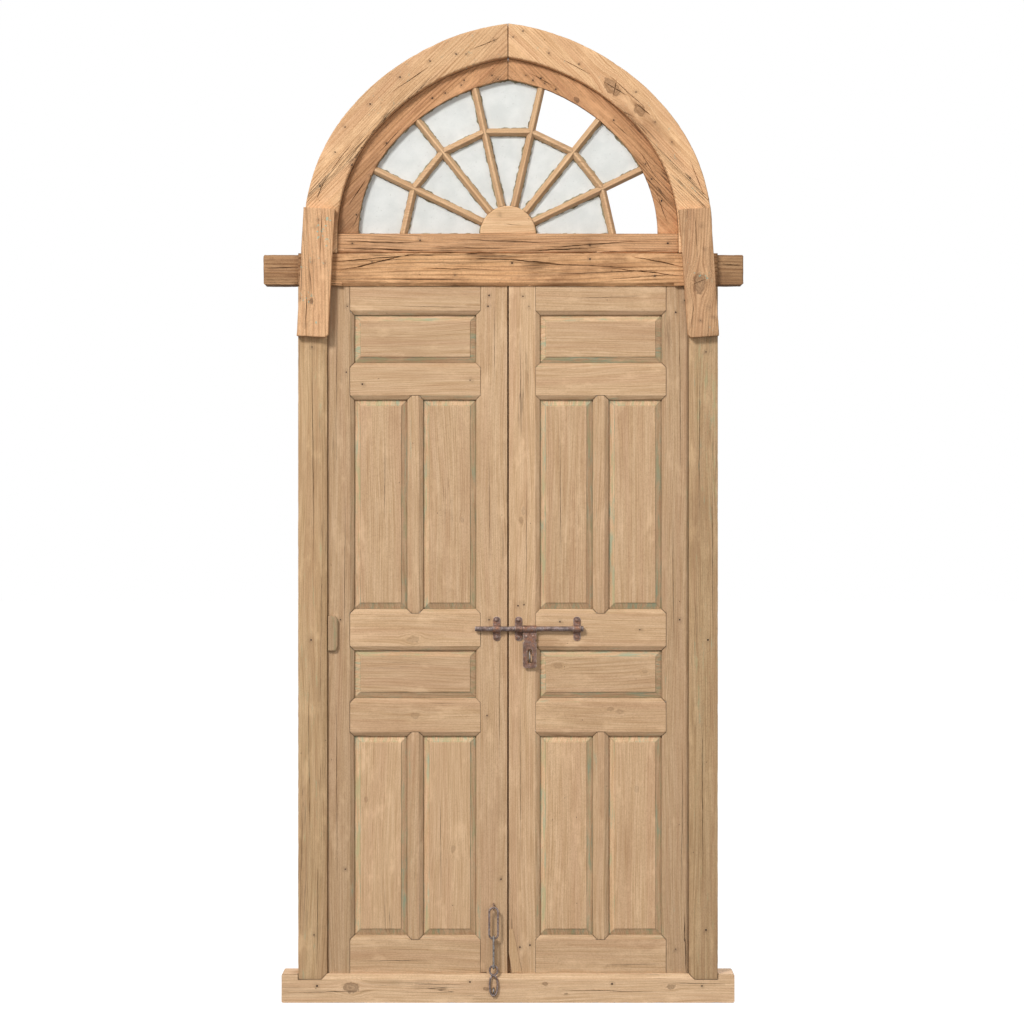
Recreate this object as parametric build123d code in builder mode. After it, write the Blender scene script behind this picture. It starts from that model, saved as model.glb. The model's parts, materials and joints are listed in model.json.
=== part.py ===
"""Antique panelled double door in its frame, with a glazed fan of bars under a pointed arch.

Millimetres. +Z is up, the outer side faces -Y, and +X is to the right seen from outside.
The origin is the middle of the sill's underside, midway through the frame's depth.
"""

from build123d import *
import math
import os

# Frame: sill, posts and transom beam
DOORWAY_W = 1158  # between the posts' front lips
DOORWAY_H = 2201  # from the sill's front lip to the beam's underside
FRAME_D = 110
POST_W = 93
SILL_W = 1450
SILL_H = 93
POST_HOUSING = 18  # the posts' feet are let this far into the sill, with a mitre
BEAM_H = 106
BEAM_LEFT = 784  # the beam's ends run on past the posts, the left one further
BEAM_RIGHT = 755
BEAM_END_W = 110
BEAM_END_SETBACK = 5
FRAME_BEVEL_D = 8
BEAM_STOP = 48  # the beam's lower bevel stops this far from the posts
BEAM_BEVEL = 11
REVEAL = 16  # the leaves' faces lie this far behind the frame's front
LIP_LAP = 9  # the frame's front lip covers this much of each leaf's edge
REBATE_GAP = 3
LIP_GAP = 1

# Pointed arch: each side is a low arc that runs into a higher, wider one
FAN_RAIL_H = 64
FAN_RAIL_D = 55
FAN_RAIL_SETBACK = 10
ARCH_INSET = 17  # the arch's feet stand this far inside the posts' outer faces
ARCH_LOW_CENTRE = 42  # the low arcs' centres are this far from the middle
ARCH_R_STEP = 190  # the high arcs' radius is this much more than the low ones'
ARCH_JOIN_DEG = 40.7
ARCH_W = 109
ARCH_D = 90
ARCH_EASE = 4
LINING_W = 66
LINING_D = 55
LINING_SETBACK = 25

# Fan of glazing bars
BAR_COUNT = 6
BAR_W = 24
BAR_FLAT_W = 7
BAR_FIN_W = 8
BAR_FRONT_D = 20
BAR_BEVEL_D = 9
BAR_FIN_D = 14
BAR_SETBACK = 27  # behind the arch's front
RING_R = 336
HUB_R = 90
HUB_PROUD = 4
GLASS_T = 3
GLASS_LAP = 6  # the glass runs this far behind each bar and the lining
GLASS_PLAY = 2
GLASS_GAP = 0.3
LOST_PANES = (0, 2)  # sectors from the right whose outer pane is gone

# Boards nailed over the joints of post, beam and arch
BOARD_W = 101
BOARD_H = 412
BOARD_T = 30
LEFT_BOARD_LEAN_DEG = 3.1
RIGHT_BOARD_LEAN_DEG = 3.9
BOARD_CORNER_CUT = 9
BOARD_DROP = 161  # the boards' feet hang this far below the beam
BOARD_OUT = 3  # and start this far outside the posts

# Leaves
LEAF_T = 42
MEETING_GAP = 5
MEETING_LAP = 10  # the left leaf's rear lip reaches this far behind the right leaf
MEETING_LAP_GAP = 3
LIP_T = 20
LIP_FACE_GAP = 1
OUTER_STILE_W = 95
MEETING_STILE_W = 99.5
MUNTIN_W = 51
TOP_RAIL_H = 100
FRIEZE_RAIL_H = 118
LOCK_RAIL_H = 133
MIDDLE_RAIL_H = 122
BOTTOM_RAIL_H = 130
TOP_PANEL_H = 154
UPPER_PANEL_H = 671
MIDDLE_PANEL_H = 153
BEVEL_W = 14
BEVEL_D = 7
TENON_T = 12
TENON_L = 48
TENON_SHOULDER = 22
GROOVE_W = 9
GROOVE_D = 10
GROOVE_SETBACK = 15
PANEL_PLAY = 0.3
FIELD_SETBACK = 7
FIELD_STEP = 2
FIELD_BORDER = 20
HORN_R = 14
HORN_L = 34
HORN_PLAY = 0.3

# Slide bolt with its hasp, on the right leaf
BOLT_R = 8
BOLT_RISE = 3.5  # above the lock rails' middle
BOLT_LEFT = -106
BOLT_RIGHT = 236
BOLT_STANDOFF = 12
BOLT_HEAD_R = 9.5
BOLT_HEAD_L = 6
BOLT_EASE = 1.5
KEEPER_PLAY = 0.3
KEEPER_T = 3
KEEPER_W = 24
KEEPER_H = 78
KEEPER_XS = (-36, 34, 221)
HASP_LEFT = 47.5
HASP_W = 44
HASP_T = 3.5
HASP_DROP = 126
HASP_EYE_T = 3
HASP_SLOT_W = 14
HASP_SLOT_H = 46
HASP_SLOT_DROP = 88
HASP_NOTCH_R = 4
HASP_NOTCH_DROP = 39
HASP_CORNER_R = 9
STAPLE_WIRE = 5.5
STAPLE_ROOT = 13
HASP_STAPLE_H = 32
HASP_STAPLE_REACH = 13

# Chain from the left leaf to the sill
CHAIN_X = -46
CHAIN_FRONT_GAP = 7.5  # from the frame's front to the chain's middle plane
CHAIN_TOP_Z = 305.5
LINK_WIRE = 7
LINK_PLAY = 0.3
TOP_LINK_L = 106
TOP_LINK_W = 35
MIDDLE_LINK_L = 108.6
MIDDLE_LINK_W = 28
END_LOOP_W = 32
END_UPPER_L = 36
END_LOWER_L = 73
CHAIN_STAPLE_WIRE = 5
CHAIN_STAPLE_H = 16

# Wooden stop block on the left leaf and let-in patch on the right one
BLOCK_W = 32
BLOCK_H = 112
BLOCK_T = 14
BLOCK_LOW = 11.5  # below the lock rails' middle
BLOCK_CORNER = 7
BLOCK_INSET = 2  # from the doorway's left side
BLOCK_EASE = 2
PATCH_TOP_W = 14
PATCH_FOOT_IN = 10
PATCH_FOOT_W = 33
PATCH_H = 141
PATCH_BREAK_H = 64
PATCH_T = 12
PATCH_PROUD = 2

# Planes and heights that follow from the sizes above
FRONT = -FRAME_D / 2
BACK = FRAME_D / 2
LEAF_FRONT = FRONT + REVEAL
LEAF_BACK = LEAF_FRONT + LEAF_T
LIP_BACK = LEAF_FRONT - LIP_GAP
DOORWAY_TOP = SILL_H + DOORWAY_H
LIP_X = DOORWAY_W / 2
REBATE_X = LIP_X + LIP_LAP + REBATE_GAP
POST_X = LIP_X + POST_W
ARCH_HALF_SPAN = POST_X - ARCH_INSET
ARCH_R_LOW = ARCH_HALF_SPAN - ARCH_LOW_CENTRE
ARCH_R_HIGH = ARCH_R_LOW + ARCH_R_STEP
REBATE_FLOOR = SILL_H - LIP_LAP - REBATE_GAP
REBATE_ROOF = DOORWAY_TOP + LIP_LAP + REBATE_GAP
BEAM_TOP = DOORWAY_TOP + BEAM_H
SPRING_Z = BEAM_TOP + FAN_RAIL_H
LEAF_X = REBATE_X - REBATE_GAP
LEAF_BOTTOM = REBATE_FLOOR + REBATE_GAP
LEAF_TOP = REBATE_ROOF - REBATE_GAP
LEAF_H = LEAF_TOP - LEAF_BOTTOM
LOCK_RAIL_TOP = LEAF_TOP - TOP_RAIL_H - TOP_PANEL_H - FRIEZE_RAIL_H - UPPER_PANEL_H
BOLT_Z = LOCK_RAIL_TOP - LOCK_RAIL_H / 2 + BOLT_RISE
BLOCK_Z = LOCK_RAIL_TOP - LOCK_RAIL_H / 2 - BLOCK_LOW
PIVOT_X = LEAF_X - LEAF_T / 2
PIVOT_Y = LEAF_FRONT + LEAF_T / 2
OPENING_OUT = LEAF_X - OUTER_STILE_W
OPENING_IN = MEETING_GAP / 2 + MEETING_STILE_W
OPENING_W = OPENING_OUT - OPENING_IN
TALL_W = (OPENING_W - MUNTIN_W) / 2
GLASS_FRONT = FRONT + BAR_SETBACK + BAR_FRONT_D + GLASS_GAP
SHOULDER_Y = FRONT + BAR_SETBACK + BAR_FRONT_D
BOLT_Y = LEAF_FRONT - BOLT_STANDOFF
CHAIN_Y = FRONT - CHAIN_FRONT_GAP

os.makedirs("parts", exist_ok=True)
pieces = {}


def finish(name, part):
    """Labels a finished piece and writes its file."""
    part.label = name
    pieces[name] = part
    export_step(part, f"parts/{name}.step")


def facing(y):
    """The upright plane at this depth, seen from outside: its x is X and its y is Z."""
    return Plane.XZ.offset(-y)


def slab(points, front, back):
    """A plate between two depths, with this outline seen from outside."""
    with BuildPart() as plate:
        with BuildSketch(facing(back)):
            with BuildLine():
                Polyline(*points, close=True)
            make_face()
        extrude(amount=back - front)
    return plate.part


def block(low, high):
    """A box between two corners."""
    with BuildPart() as solid:
        with BuildSketch(Plane.XY.offset(low[2])):
            with Locations(((low[0] + high[0]) / 2, (low[1] + high[1]) / 2)):
                Rectangle(high[0] - low[0], high[1] - low[1])
        extrude(amount=high[2] - low[2])
    return solid.part


# Sill, posts and transom beam


def post_outline(side):
    """A post seen from outside, with its mitred foot in the sill."""
    inner = side * LIP_X
    outer = side * POST_X
    return [
        (inner, DOORWAY_TOP),
        (inner, SILL_H),
        (inner + side * POST_HOUSING, SILL_H - POST_HOUSING),
        (outer, SILL_H - POST_HOUSING),
        (outer, DOORWAY_TOP),
    ]


def doorway_bevel():
    """The bevel round the doorway's sides and foot, as the wood that it takes away."""
    with BuildPart() as bevel:
        middle = (SILL_H + DOORWAY_TOP + POST_HOUSING) / 2
        height = DOORWAY_H + POST_HOUSING
        with BuildSketch(facing(FRONT)):
            with Locations((0, middle - POST_HOUSING / 2)):
                Rectangle(DOORWAY_W + 2 * POST_HOUSING, height + POST_HOUSING)
        with BuildSketch(facing(FRONT + FRAME_BEVEL_D)):
            with Locations((0, middle)):
                Rectangle(DOORWAY_W, height)
        loft(ruled=True)
    return bevel.part


def make_post(side):
    bevel = doorway_bevel()
    with BuildPart() as post:
        add(slab(post_outline(side), FRONT, BACK))
        rebate = sorted((side * (LIP_X - 1), side * REBATE_X))
        low = (rebate[0], LIP_BACK, SILL_H - POST_HOUSING)
        high = (rebate[1], BACK, DOORWAY_TOP)
        add(block(low, high), mode=Mode.SUBTRACT)
        add(bevel, mode=Mode.SUBTRACT)
    return post.part


def make_sill():
    with BuildPart() as sill:
        with BuildSketch(Plane.XY):
            Rectangle(SILL_W, FRAME_D)
        extrude(amount=SILL_H)
        ends = sill.faces().filter_by(Axis.X)
        chamfer(ends.edges().filter_by(Axis.Y), ARCH_EASE)
        for side in (-1, 1):
            add(slab(post_outline(side), FRONT, BACK), mode=Mode.SUBTRACT)
        low = (-REBATE_X, LIP_BACK, REBATE_FLOOR)
        add(block(low, (REBATE_X, BACK, SILL_H)), mode=Mode.SUBTRACT)
        add(doorway_bevel(), mode=Mode.SUBTRACT)
        with BuildSketch(Plane.XY.offset(LEAF_BOTTOM)):
            with Locations((-PIVOT_X, PIVOT_Y), (PIVOT_X, PIVOT_Y)):
                Circle(HORN_R + HORN_PLAY)
        extrude(amount=-HORN_L - REBATE_GAP, mode=Mode.SUBTRACT)
    return sill.part


def make_beam():
    """The beam across both posts, set back at its ends, with a stopped bevel below."""
    middle = (DOORWAY_TOP + BEAM_TOP) / 2
    with BuildPart() as beam:
        low = (-POST_X, FRONT, DOORWAY_TOP)
        add(block(low, (POST_X, BACK, BEAM_TOP)))
        end_front = FRONT + BEAM_END_SETBACK
        end_low = DOORWAY_TOP + BEAM_END_SETBACK
        end_top = BEAM_TOP - BEAM_END_SETBACK
        low = (-BEAM_LEFT, end_front, end_low)
        add(block(low, (BEAM_RIGHT, BACK - BEAM_END_SETBACK, end_top)))
        ends = beam.faces().sort_by(Axis.X)
        chamfer((ends[0] + ends[-1]).edges(), ARCH_EASE)
        low = (-REBATE_X, LIP_BACK, DOORWAY_TOP)
        add(block(low, (REBATE_X, BACK, REBATE_ROOF)), mode=Mode.SUBTRACT)
        with BuildSketch(Plane.YZ.offset(-LIP_X + BEAM_STOP)):
            with BuildLine():
                Polyline(
                    (FRONT, DOORWAY_TOP),
                    (FRONT + BEAM_BEVEL, DOORWAY_TOP),
                    (FRONT, DOORWAY_TOP + BEAM_BEVEL),
                    close=True,
                )
            make_face()
        extrude(amount=DOORWAY_W - 2 * BEAM_STOP, mode=Mode.SUBTRACT)
        with BuildSketch(Plane.XY.offset(LEAF_TOP)):
            with Locations((-PIVOT_X, PIVOT_Y), (PIVOT_X, PIVOT_Y)):
                Circle(HORN_R + HORN_PLAY)
        extrude(amount=HORN_L + REBATE_GAP, mode=Mode.SUBTRACT)
    return beam.part


# Pointed arch


def arch_path(side, inset, foot):
    """One side of the arch at this inset, inside BuildLine. Returns its foot and apex."""
    start = 0 if side > 0 else 180
    step = ARCH_R_STEP
    low_x = side * ARCH_LOW_CENTRE
    high_x = low_x - side * step * math.cos(math.radians(ARCH_JOIN_DEG))
    high_z = SPRING_Z - step * math.sin(math.radians(ARCH_JOIN_DEG))
    apex_deg = math.degrees(math.acos(abs(high_x) / (ARCH_R_HIGH - inset)))
    x = side * (ARCH_HALF_SPAN - inset)
    if foot < SPRING_Z:
        Line((x, foot), (x, SPRING_Z))
    join = side * ARCH_JOIN_DEG
    sweep_high = side * (apex_deg - ARCH_JOIN_DEG)
    CenterArc((low_x, SPRING_Z), ARCH_R_LOW - inset, start, join)
    CenterArc((high_x, high_z), ARCH_R_HIGH - inset, start + join, sweep_high)
    apex_z = high_z + math.sqrt((ARCH_R_HIGH - inset) ** 2 - high_x**2)
    return (x, foot), (0, apex_z)


def arch_band(side, outer, inner, foot, front, back):
    """Half of an arched band between two insets, cut upright at the apex."""
    with BuildPart() as band:
        with BuildSketch(facing(back)):
            with BuildLine():
                outer_foot, outer_apex = arch_path(side, outer, foot)
                inner_foot, inner_apex = arch_path(side, inner, foot)
                Line(outer_apex, inner_apex)
                Line(outer_foot, inner_foot)
            make_face()
        extrude(amount=back - front)
    return band.part


def arch_region(inset, foot, front, back):
    """Everything inside the arch at this inset."""
    with BuildPart() as region:
        with BuildSketch(facing(back)):
            with BuildLine():
                left_foot, _ = arch_path(-1, inset, foot)
                right_foot, _ = arch_path(1, inset, foot)
                Line(left_foot, right_foot)
            make_face()
        extrude(amount=back - front)
    return region.part


def make_arch(side):
    with BuildPart() as arch:
        add(arch_band(side, 0, ARCH_W, BEAM_TOP, FRONT, FRONT + ARCH_D))
        front_edges = arch.faces().sort_by(Axis.Y)[0].edges().filter_by(GeomType.CIRCLE)
        chamfer(front_edges, ARCH_EASE)
    return arch.part


LINING_FRONT = FRONT + LINING_SETBACK
SIGHT_INSET = ARCH_W + LINING_W


def make_lining(side):
    """The lining inside the arch, rebated behind for the glass."""
    with BuildPart() as lining:
        back = LINING_FRONT + LINING_D
        add(arch_band(side, ARCH_W, SIGHT_INSET, SPRING_Z, LINING_FRONT, back))
        deep = SIGHT_INSET - GLASS_LAP - GLASS_PLAY
        cut = arch_region(deep, SPRING_Z, SHOULDER_Y, back)
        add(cut, mode=Mode.SUBTRACT)
    return lining.part


def make_fan_rail():
    half = ARCH_HALF_SPAN - ARCH_W
    front = FRONT + FAN_RAIL_SETBACK
    back = front + FAN_RAIL_D
    with BuildPart() as rail:
        add(block((-half, front, BEAM_TOP), (half, back, SPRING_Z)))
        front_edges = rail.faces().sort_by(Axis.Y)[0].edges().filter_by(Axis.X)
        chamfer(front_edges, ARCH_EASE)
        seat = ARCH_HALF_SPAN - SIGHT_INSET + GLASS_LAP + GLASS_PLAY
        low = (-seat, SHOULDER_Y, SPRING_Z - GLASS_LAP - GLASS_PLAY)
        add(block(low, (seat, back, SPRING_Z)), mode=Mode.SUBTRACT)
    return rail.part


# Fan of bars, hub and glass


def bar_prism(start, end):
    """A glazing bar between two points (x, z): bevelled in front, with a fin behind."""
    run = math.dist(start, end)
    ux = (end[0] - start[0]) / run
    uz = (end[1] - start[1]) / run
    plane = Plane(origin=(start[0], 0, start[1]), x_dir=(-uz, 0, ux), z_dir=(ux, 0, uz))
    front = -(FRONT + BAR_SETBACK)
    shoulder = front - BAR_FRONT_D
    bevel = front - BAR_BEVEL_D
    fin = shoulder - BAR_FIN_D
    half = [
        (BAR_FIN_W / 2, fin),
        (BAR_FIN_W / 2, shoulder),
        (BAR_W / 2, shoulder),
        (BAR_W / 2, bevel),
        (BAR_FLAT_W / 2, front),
    ]
    other = [(-x, y) for x, y in reversed(half)]
    with BuildPart() as bar:
        with BuildSketch(plane):
            with BuildLine():
                Polyline(*half, *other, close=True)
            make_face()
        extrude(amount=run)
    return bar.part


def on_ring(k):
    """Corner k of the ring of bars, counted from the right along the half circle."""
    turn = math.pi * k / (BAR_COUNT + 1)
    return (RING_R * math.cos(turn), SPRING_Z + RING_R * math.sin(turn))


def make_hub():
    front = FRONT + BAR_SETBACK - HUB_PROUD
    with BuildPart() as hub:
        with BuildSketch(facing(SHOULDER_Y + BAR_FIN_D)):
            Circle(HUB_R - GLASS_LAP - GLASS_PLAY)
            Rectangle(4 * HUB_R, 2 * HUB_R, align=(Align.CENTER, Align.MAX), mode=Mode.SUBTRACT)
        extrude(amount=BAR_FIN_D)
        with BuildSketch(facing(SHOULDER_Y)):
            Circle(HUB_R)
            Rectangle(4 * HUB_R, 2 * HUB_R, align=(Align.CENTER, Align.MAX), mode=Mode.SUBTRACT)
        extrude(amount=SHOULDER_Y - front)
        rim = hub.faces().sort_by(Axis.Y)[0].edges().filter_by(GeomType.CIRCLE)
        chamfer(rim, ARCH_EASE)
    return hub.part.moved(Location((0, 0, SPRING_Z)))


def make_radial_bar(k, hub, around):
    """Bar k from the hub to the lining, cut to both."""
    turn = math.pi * k / (BAR_COUNT + 1)
    near = HUB_R / 2
    far = 2 * ARCH_HALF_SPAN
    middle = (0, SHOULDER_Y, SPRING_Z)
    start = (near * math.cos(turn), SPRING_Z + near * math.sin(turn))
    end = (far * math.cos(turn), SPRING_Z + far * math.sin(turn))
    with BuildPart() as bar:
        add(bar_prism(start, end))
        add(hub, mode=Mode.SUBTRACT)
        for piece in around:
            add(piece, mode=Mode.SUBTRACT)
    return bar.part.solids().sort_by_distance(middle)[0]


def make_ring_bar(k, radials, rail):
    """The ring's bar between corners k and k + 1, cut to its neighbours."""
    start = on_ring(k)
    end = on_ring(k + 1)
    with BuildPart() as bar:
        add(bar_prism(start, end))
        for piece in radials:
            add(piece, mode=Mode.SUBTRACT)
        add(rail, mode=Mode.SUBTRACT)
    return bar.part.solids().sort_by(SortBy.VOLUME)[-1]


def glass_fields():
    """All fields of the fan, each a pane that laps behind its bars."""
    fin_room = BAR_FIN_W / 2 + (BAR_W - BAR_FIN_W) / 2 - GLASS_LAP
    with BuildPart() as glass:
        with BuildSketch(facing(GLASS_FRONT + GLASS_T)):
            with BuildLine():
                inset = SIGHT_INSET - GLASS_LAP
                left_foot, _ = arch_path(-1, inset, SPRING_Z - GLASS_LAP)
                right_foot, _ = arch_path(1, inset, SPRING_Z - GLASS_LAP)
                Line(left_foot, right_foot)
            make_face()
            with Locations((0, SPRING_Z)):
                Circle(HUB_R - GLASS_LAP, mode=Mode.SUBTRACT)
            for k in range(1, BAR_COUNT + 1):
                turn = 180 * k / (BAR_COUNT + 1)
                with Locations(Location((0, SPRING_Z, 0), (0, 0, turn))):
                    Rectangle(
                        3 * RING_R,
                        2 * fin_room,
                        align=(Align.MIN, Align.CENTER),
                        mode=Mode.SUBTRACT,
                    )
            for k in range(BAR_COUNT + 1):
                start = on_ring(k)
                end = on_ring(k + 1)
                run = math.dist(start, end)
                turn = math.degrees(math.atan2(end[1] - start[1], end[0] - start[0]))
                middle = ((start[0] + end[0]) / 2, (start[1] + end[1]) / 2, 0)
                with Locations(Location(middle, (0, 0, turn))):
                    Rectangle(run + BAR_W, 2 * fin_room, mode=Mode.SUBTRACT)
        extrude(amount=GLASS_T)
    return glass.part.solids()


def field_place(pane):
    """How far a pane lies from the fan's centre, and its sector from the right."""
    centre = pane.center()
    turn = math.atan2(centre.Z - SPRING_Z, centre.X)
    return (
        math.hypot(centre.X, centre.Z - SPRING_Z),
        int(turn / math.pi * (BAR_COUNT + 1)),
    )


# Boards over the joints


def make_board(side, lean):
    """A board nailed on the front, leaning in towards its top."""
    foot_x = side * (POST_X + BOARD_OUT)
    foot_z = DOORWAY_TOP - BOARD_DROP
    rise = math.radians(lean)
    up = (-side * math.sin(rise), math.cos(rise))
    across = (-side * math.cos(rise), -math.sin(rise))
    cut = BOARD_CORNER_CUT
    local = [(0, 0), (BOARD_W - cut, 0), (BOARD_W, cut), (BOARD_W, BOARD_H), (0, BOARD_H)]
    points = [
        (foot_x + a * across[0] + u * up[0], foot_z + a * across[1] + u * up[1])
        for a, u in local
    ]
    with BuildPart() as board:
        add(slab(points, FRONT - BOARD_T, FRONT))
        face = board.faces().sort_by(Axis.Y)[0]
        chamfer(face.edges(), ARCH_EASE / 2)
    return board.part


# Leaves


def rows():
    """The leaf's rails and openings, from the top down: (bottom, top) of each."""
    heights = [
        ("top_rail", TOP_RAIL_H),
        ("top_panel", TOP_PANEL_H),
        ("frieze_rail", FRIEZE_RAIL_H),
        ("upper", UPPER_PANEL_H),
        ("lock_rail", LOCK_RAIL_H),
        ("middle_panel", MIDDLE_PANEL_H),
        ("middle_rail", MIDDLE_RAIL_H),
    ]
    out = {}
    top = LEAF_TOP
    for name, height in heights:
        out[name] = (top - height, top)
        top -= height
    out["lower"] = (LEAF_BOTTOM + BOTTOM_RAIL_H, top)
    out["bottom_rail"] = (LEAF_BOTTOM, LEAF_BOTTOM + BOTTOM_RAIL_H)
    return out


def openings(side):
    """Every panel opening of a leaf: (x from, x to, z from, z to)."""
    place = rows()
    near = OPENING_IN
    far = OPENING_OUT
    out = []
    for name in ("top_panel", "middle_panel"):
        out.append((near, far, *place[name]))
    for name in ("upper", "lower"):
        out.append((near, near + TALL_W, *place[name]))
        out.append((far - TALL_W, far, *place[name]))
    return [(*sorted((side * a, side * b)), low, high) for a, b, low, high in out]


def opening_cut(opening):
    """What one opening takes from the wood round it: its bevel and its panel groove."""
    x0, x1, z0, z1 = opening
    width = x1 - x0
    height = z1 - z0
    middle = ((x0 + x1) / 2, (z0 + z1) / 2)
    with BuildPart() as cut:
        with BuildSketch(facing(LEAF_FRONT)):
            with Locations(middle):
                Rectangle(width + 2 * BEVEL_W, height + 2 * BEVEL_W)
        with BuildSketch(facing(LEAF_FRONT + BEVEL_D)):
            with Locations(middle):
                Rectangle(width, height)
        loft(ruled=True)
        groove = LEAF_FRONT + GROOVE_SETBACK
        with BuildSketch(facing(groove + GROOVE_W)):
            with Locations(middle):
                Rectangle(width + 2 * GROOVE_D, height + 2 * GROOVE_D)
        extrude(amount=GROOVE_W)
    return cut.part


def make_rail(opening_span, low, high, outer_top, outer_bottom):
    """A rail with bevel-mitred ends and a tenon at each end."""
    x0, x1 = opening_span
    c = BEVEL_W
    bottom_in = 0 if outer_bottom else c
    top_in = 0 if outer_top else c
    points = [(x0 - c, low + bottom_in), (x0 - c, high - top_in)]
    if not outer_top:
        points.append((x0, high))
        points.append((x1, high))
    points += [(x1 + c, high - top_in), (x1 + c, low + bottom_in)]
    if not outer_bottom:
        points.append((x1, low))
        points.append((x0, low))
    middle = LEAF_FRONT + LEAF_T / 2
    tenon_low = (x0 - c - TENON_L, middle - TENON_T / 2, low + TENON_SHOULDER)
    tenon_high = (x1 + c + TENON_L, middle + TENON_T / 2, high - TENON_SHOULDER)
    with BuildPart() as rail:
        add(slab(points, LEAF_FRONT, LEAF_BACK))
        add(block(tenon_low, tenon_high))
    return rail.part


def make_muntin(x0, x1, low, high):
    """An upright between two tall panels, mitred into the rails above and below."""
    c = BEVEL_W
    points = [
        (x0, low),
        (x0 + c, low - c),
        (x1 - c, low - c),
        (x1, low),
        (x1, high),
        (x1 - c, high + c),
        (x0 + c, high + c),
        (x0, high),
    ]
    return slab(points, LEAF_FRONT, LEAF_BACK)


def make_panel(opening):
    """A raised panel: a field, a bevelled border and a tongue in the groove."""
    x0, x1, z0, z1 = opening
    width = x1 - x0
    height = z1 - z0
    middle = ((x0 + x1) / 2, (z0 + z1) / 2)
    tongue_front = LEAF_FRONT + GROOVE_SETBACK + PANEL_PLAY
    tongue_back = LEAF_FRONT + GROOVE_SETBACK + GROOVE_W - PANEL_PLAY
    spread = 2 * (GROOVE_D - PANEL_PLAY)
    field_front = LEAF_FRONT + FIELD_SETBACK
    field_w = width - 2 * FIELD_BORDER
    field_h = height - 2 * FIELD_BORDER
    with BuildPart() as panel:
        with BuildSketch(facing(tongue_back)):
            with Locations(middle):
                Rectangle(width + spread, height + spread)
        extrude(amount=tongue_back - tongue_front)
        with BuildSketch(facing(tongue_front)):
            with Locations(middle):
                Rectangle(width - 2 * PANEL_PLAY, height - 2 * PANEL_PLAY)
        with BuildSketch(facing(field_front + FIELD_STEP)):
            with Locations(middle):
                Rectangle(field_w, field_h)
        loft(ruled=True)
        with BuildSketch(facing(field_front + FIELD_STEP)):
            with Locations(middle):
                Rectangle(field_w, field_h)
        extrude(amount=FIELD_STEP)
    return panel.part


def make_outer_stile(side, cutters):
    """The hanging stile: its heel is round about the pivot, with a horn at each end."""
    inner = side * OPENING_OUT
    with BuildPart() as stile:
        with BuildSketch(Plane.XY.offset(LEAF_BOTTOM)):
            with Locations((side * PIVOT_X, PIVOT_Y)):
                Circle(LEAF_T / 2)
            with Locations(((side * PIVOT_X + inner) / 2, PIVOT_Y)):
                Rectangle(abs(side * PIVOT_X - inner), LEAF_T)
        extrude(amount=LEAF_H)
        with BuildSketch(Plane.XY.offset(LEAF_BOTTOM - HORN_L)):
            with Locations((side * PIVOT_X, PIVOT_Y)):
                Circle(HORN_R)
        extrude(amount=LEAF_H + 2 * HORN_L)
        for cutter in cutters:
            add(cutter, mode=Mode.SUBTRACT)
    return stile.part


def make_meeting_stile(side, cutters):
    """The meeting stile: the left one has a rear lip that laps behind the right one."""
    edge = side * MEETING_GAP / 2
    inner = side * OPENING_IN
    lip_front = LEAF_BACK - LIP_T
    lip_end = MEETING_GAP / 2 + MEETING_LAP
    if side < 0:
        points = [
            (inner, LEAF_FRONT),
            (edge, LEAF_FRONT),
            (edge, lip_front),
            (lip_end, lip_front),
            (lip_end, LEAF_BACK),
            (inner, LEAF_BACK),
        ]
    else:
        rear = lip_end + MEETING_LAP_GAP
        points = [
            (edge, LEAF_FRONT),
            (inner, LEAF_FRONT),
            (inner, LEAF_BACK),
            (rear, LEAF_BACK),
            (rear, lip_front - LIP_FACE_GAP),
            (edge, lip_front - LIP_FACE_GAP),
        ]
    with BuildPart() as stile:
        with BuildSketch(Plane.XY.offset(LEAF_BOTTOM)):
            with BuildLine():
                Polyline(*points, close=True)
            make_face()
        extrude(amount=LEAF_H)
        for cutter in cutters:
            add(cutter, mode=Mode.SUBTRACT)
    return stile.part


def patch_outline():
    """The let-in patch at the foot of the right meeting stile."""
    edge = MEETING_GAP / 2
    foot = SILL_H + PANEL_PLAY
    return [
        (edge, foot + PATCH_H),
        (edge + PATCH_TOP_W, foot + PATCH_H),
        (edge + PATCH_FOOT_IN + PATCH_FOOT_W, foot),
        (edge + PATCH_FOOT_IN, foot),
        (edge, foot + PATCH_BREAK_H),
    ]


def broken_corner():
    """The corner that has broken off beside the patch."""
    edge = MEETING_GAP / 2
    break_foot, break_top = patch_outline()[-2:]
    points = [
        (edge - 1, break_top[1]),
        break_top,
        break_foot,
        (break_foot[0], LEAF_BOTTOM - 1),
        (edge - 1, LEAF_BOTTOM - 1),
    ]
    return slab(points, LEAF_FRONT - 1, LEAF_BACK - LIP_T - LIP_FACE_GAP + 1)


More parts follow.
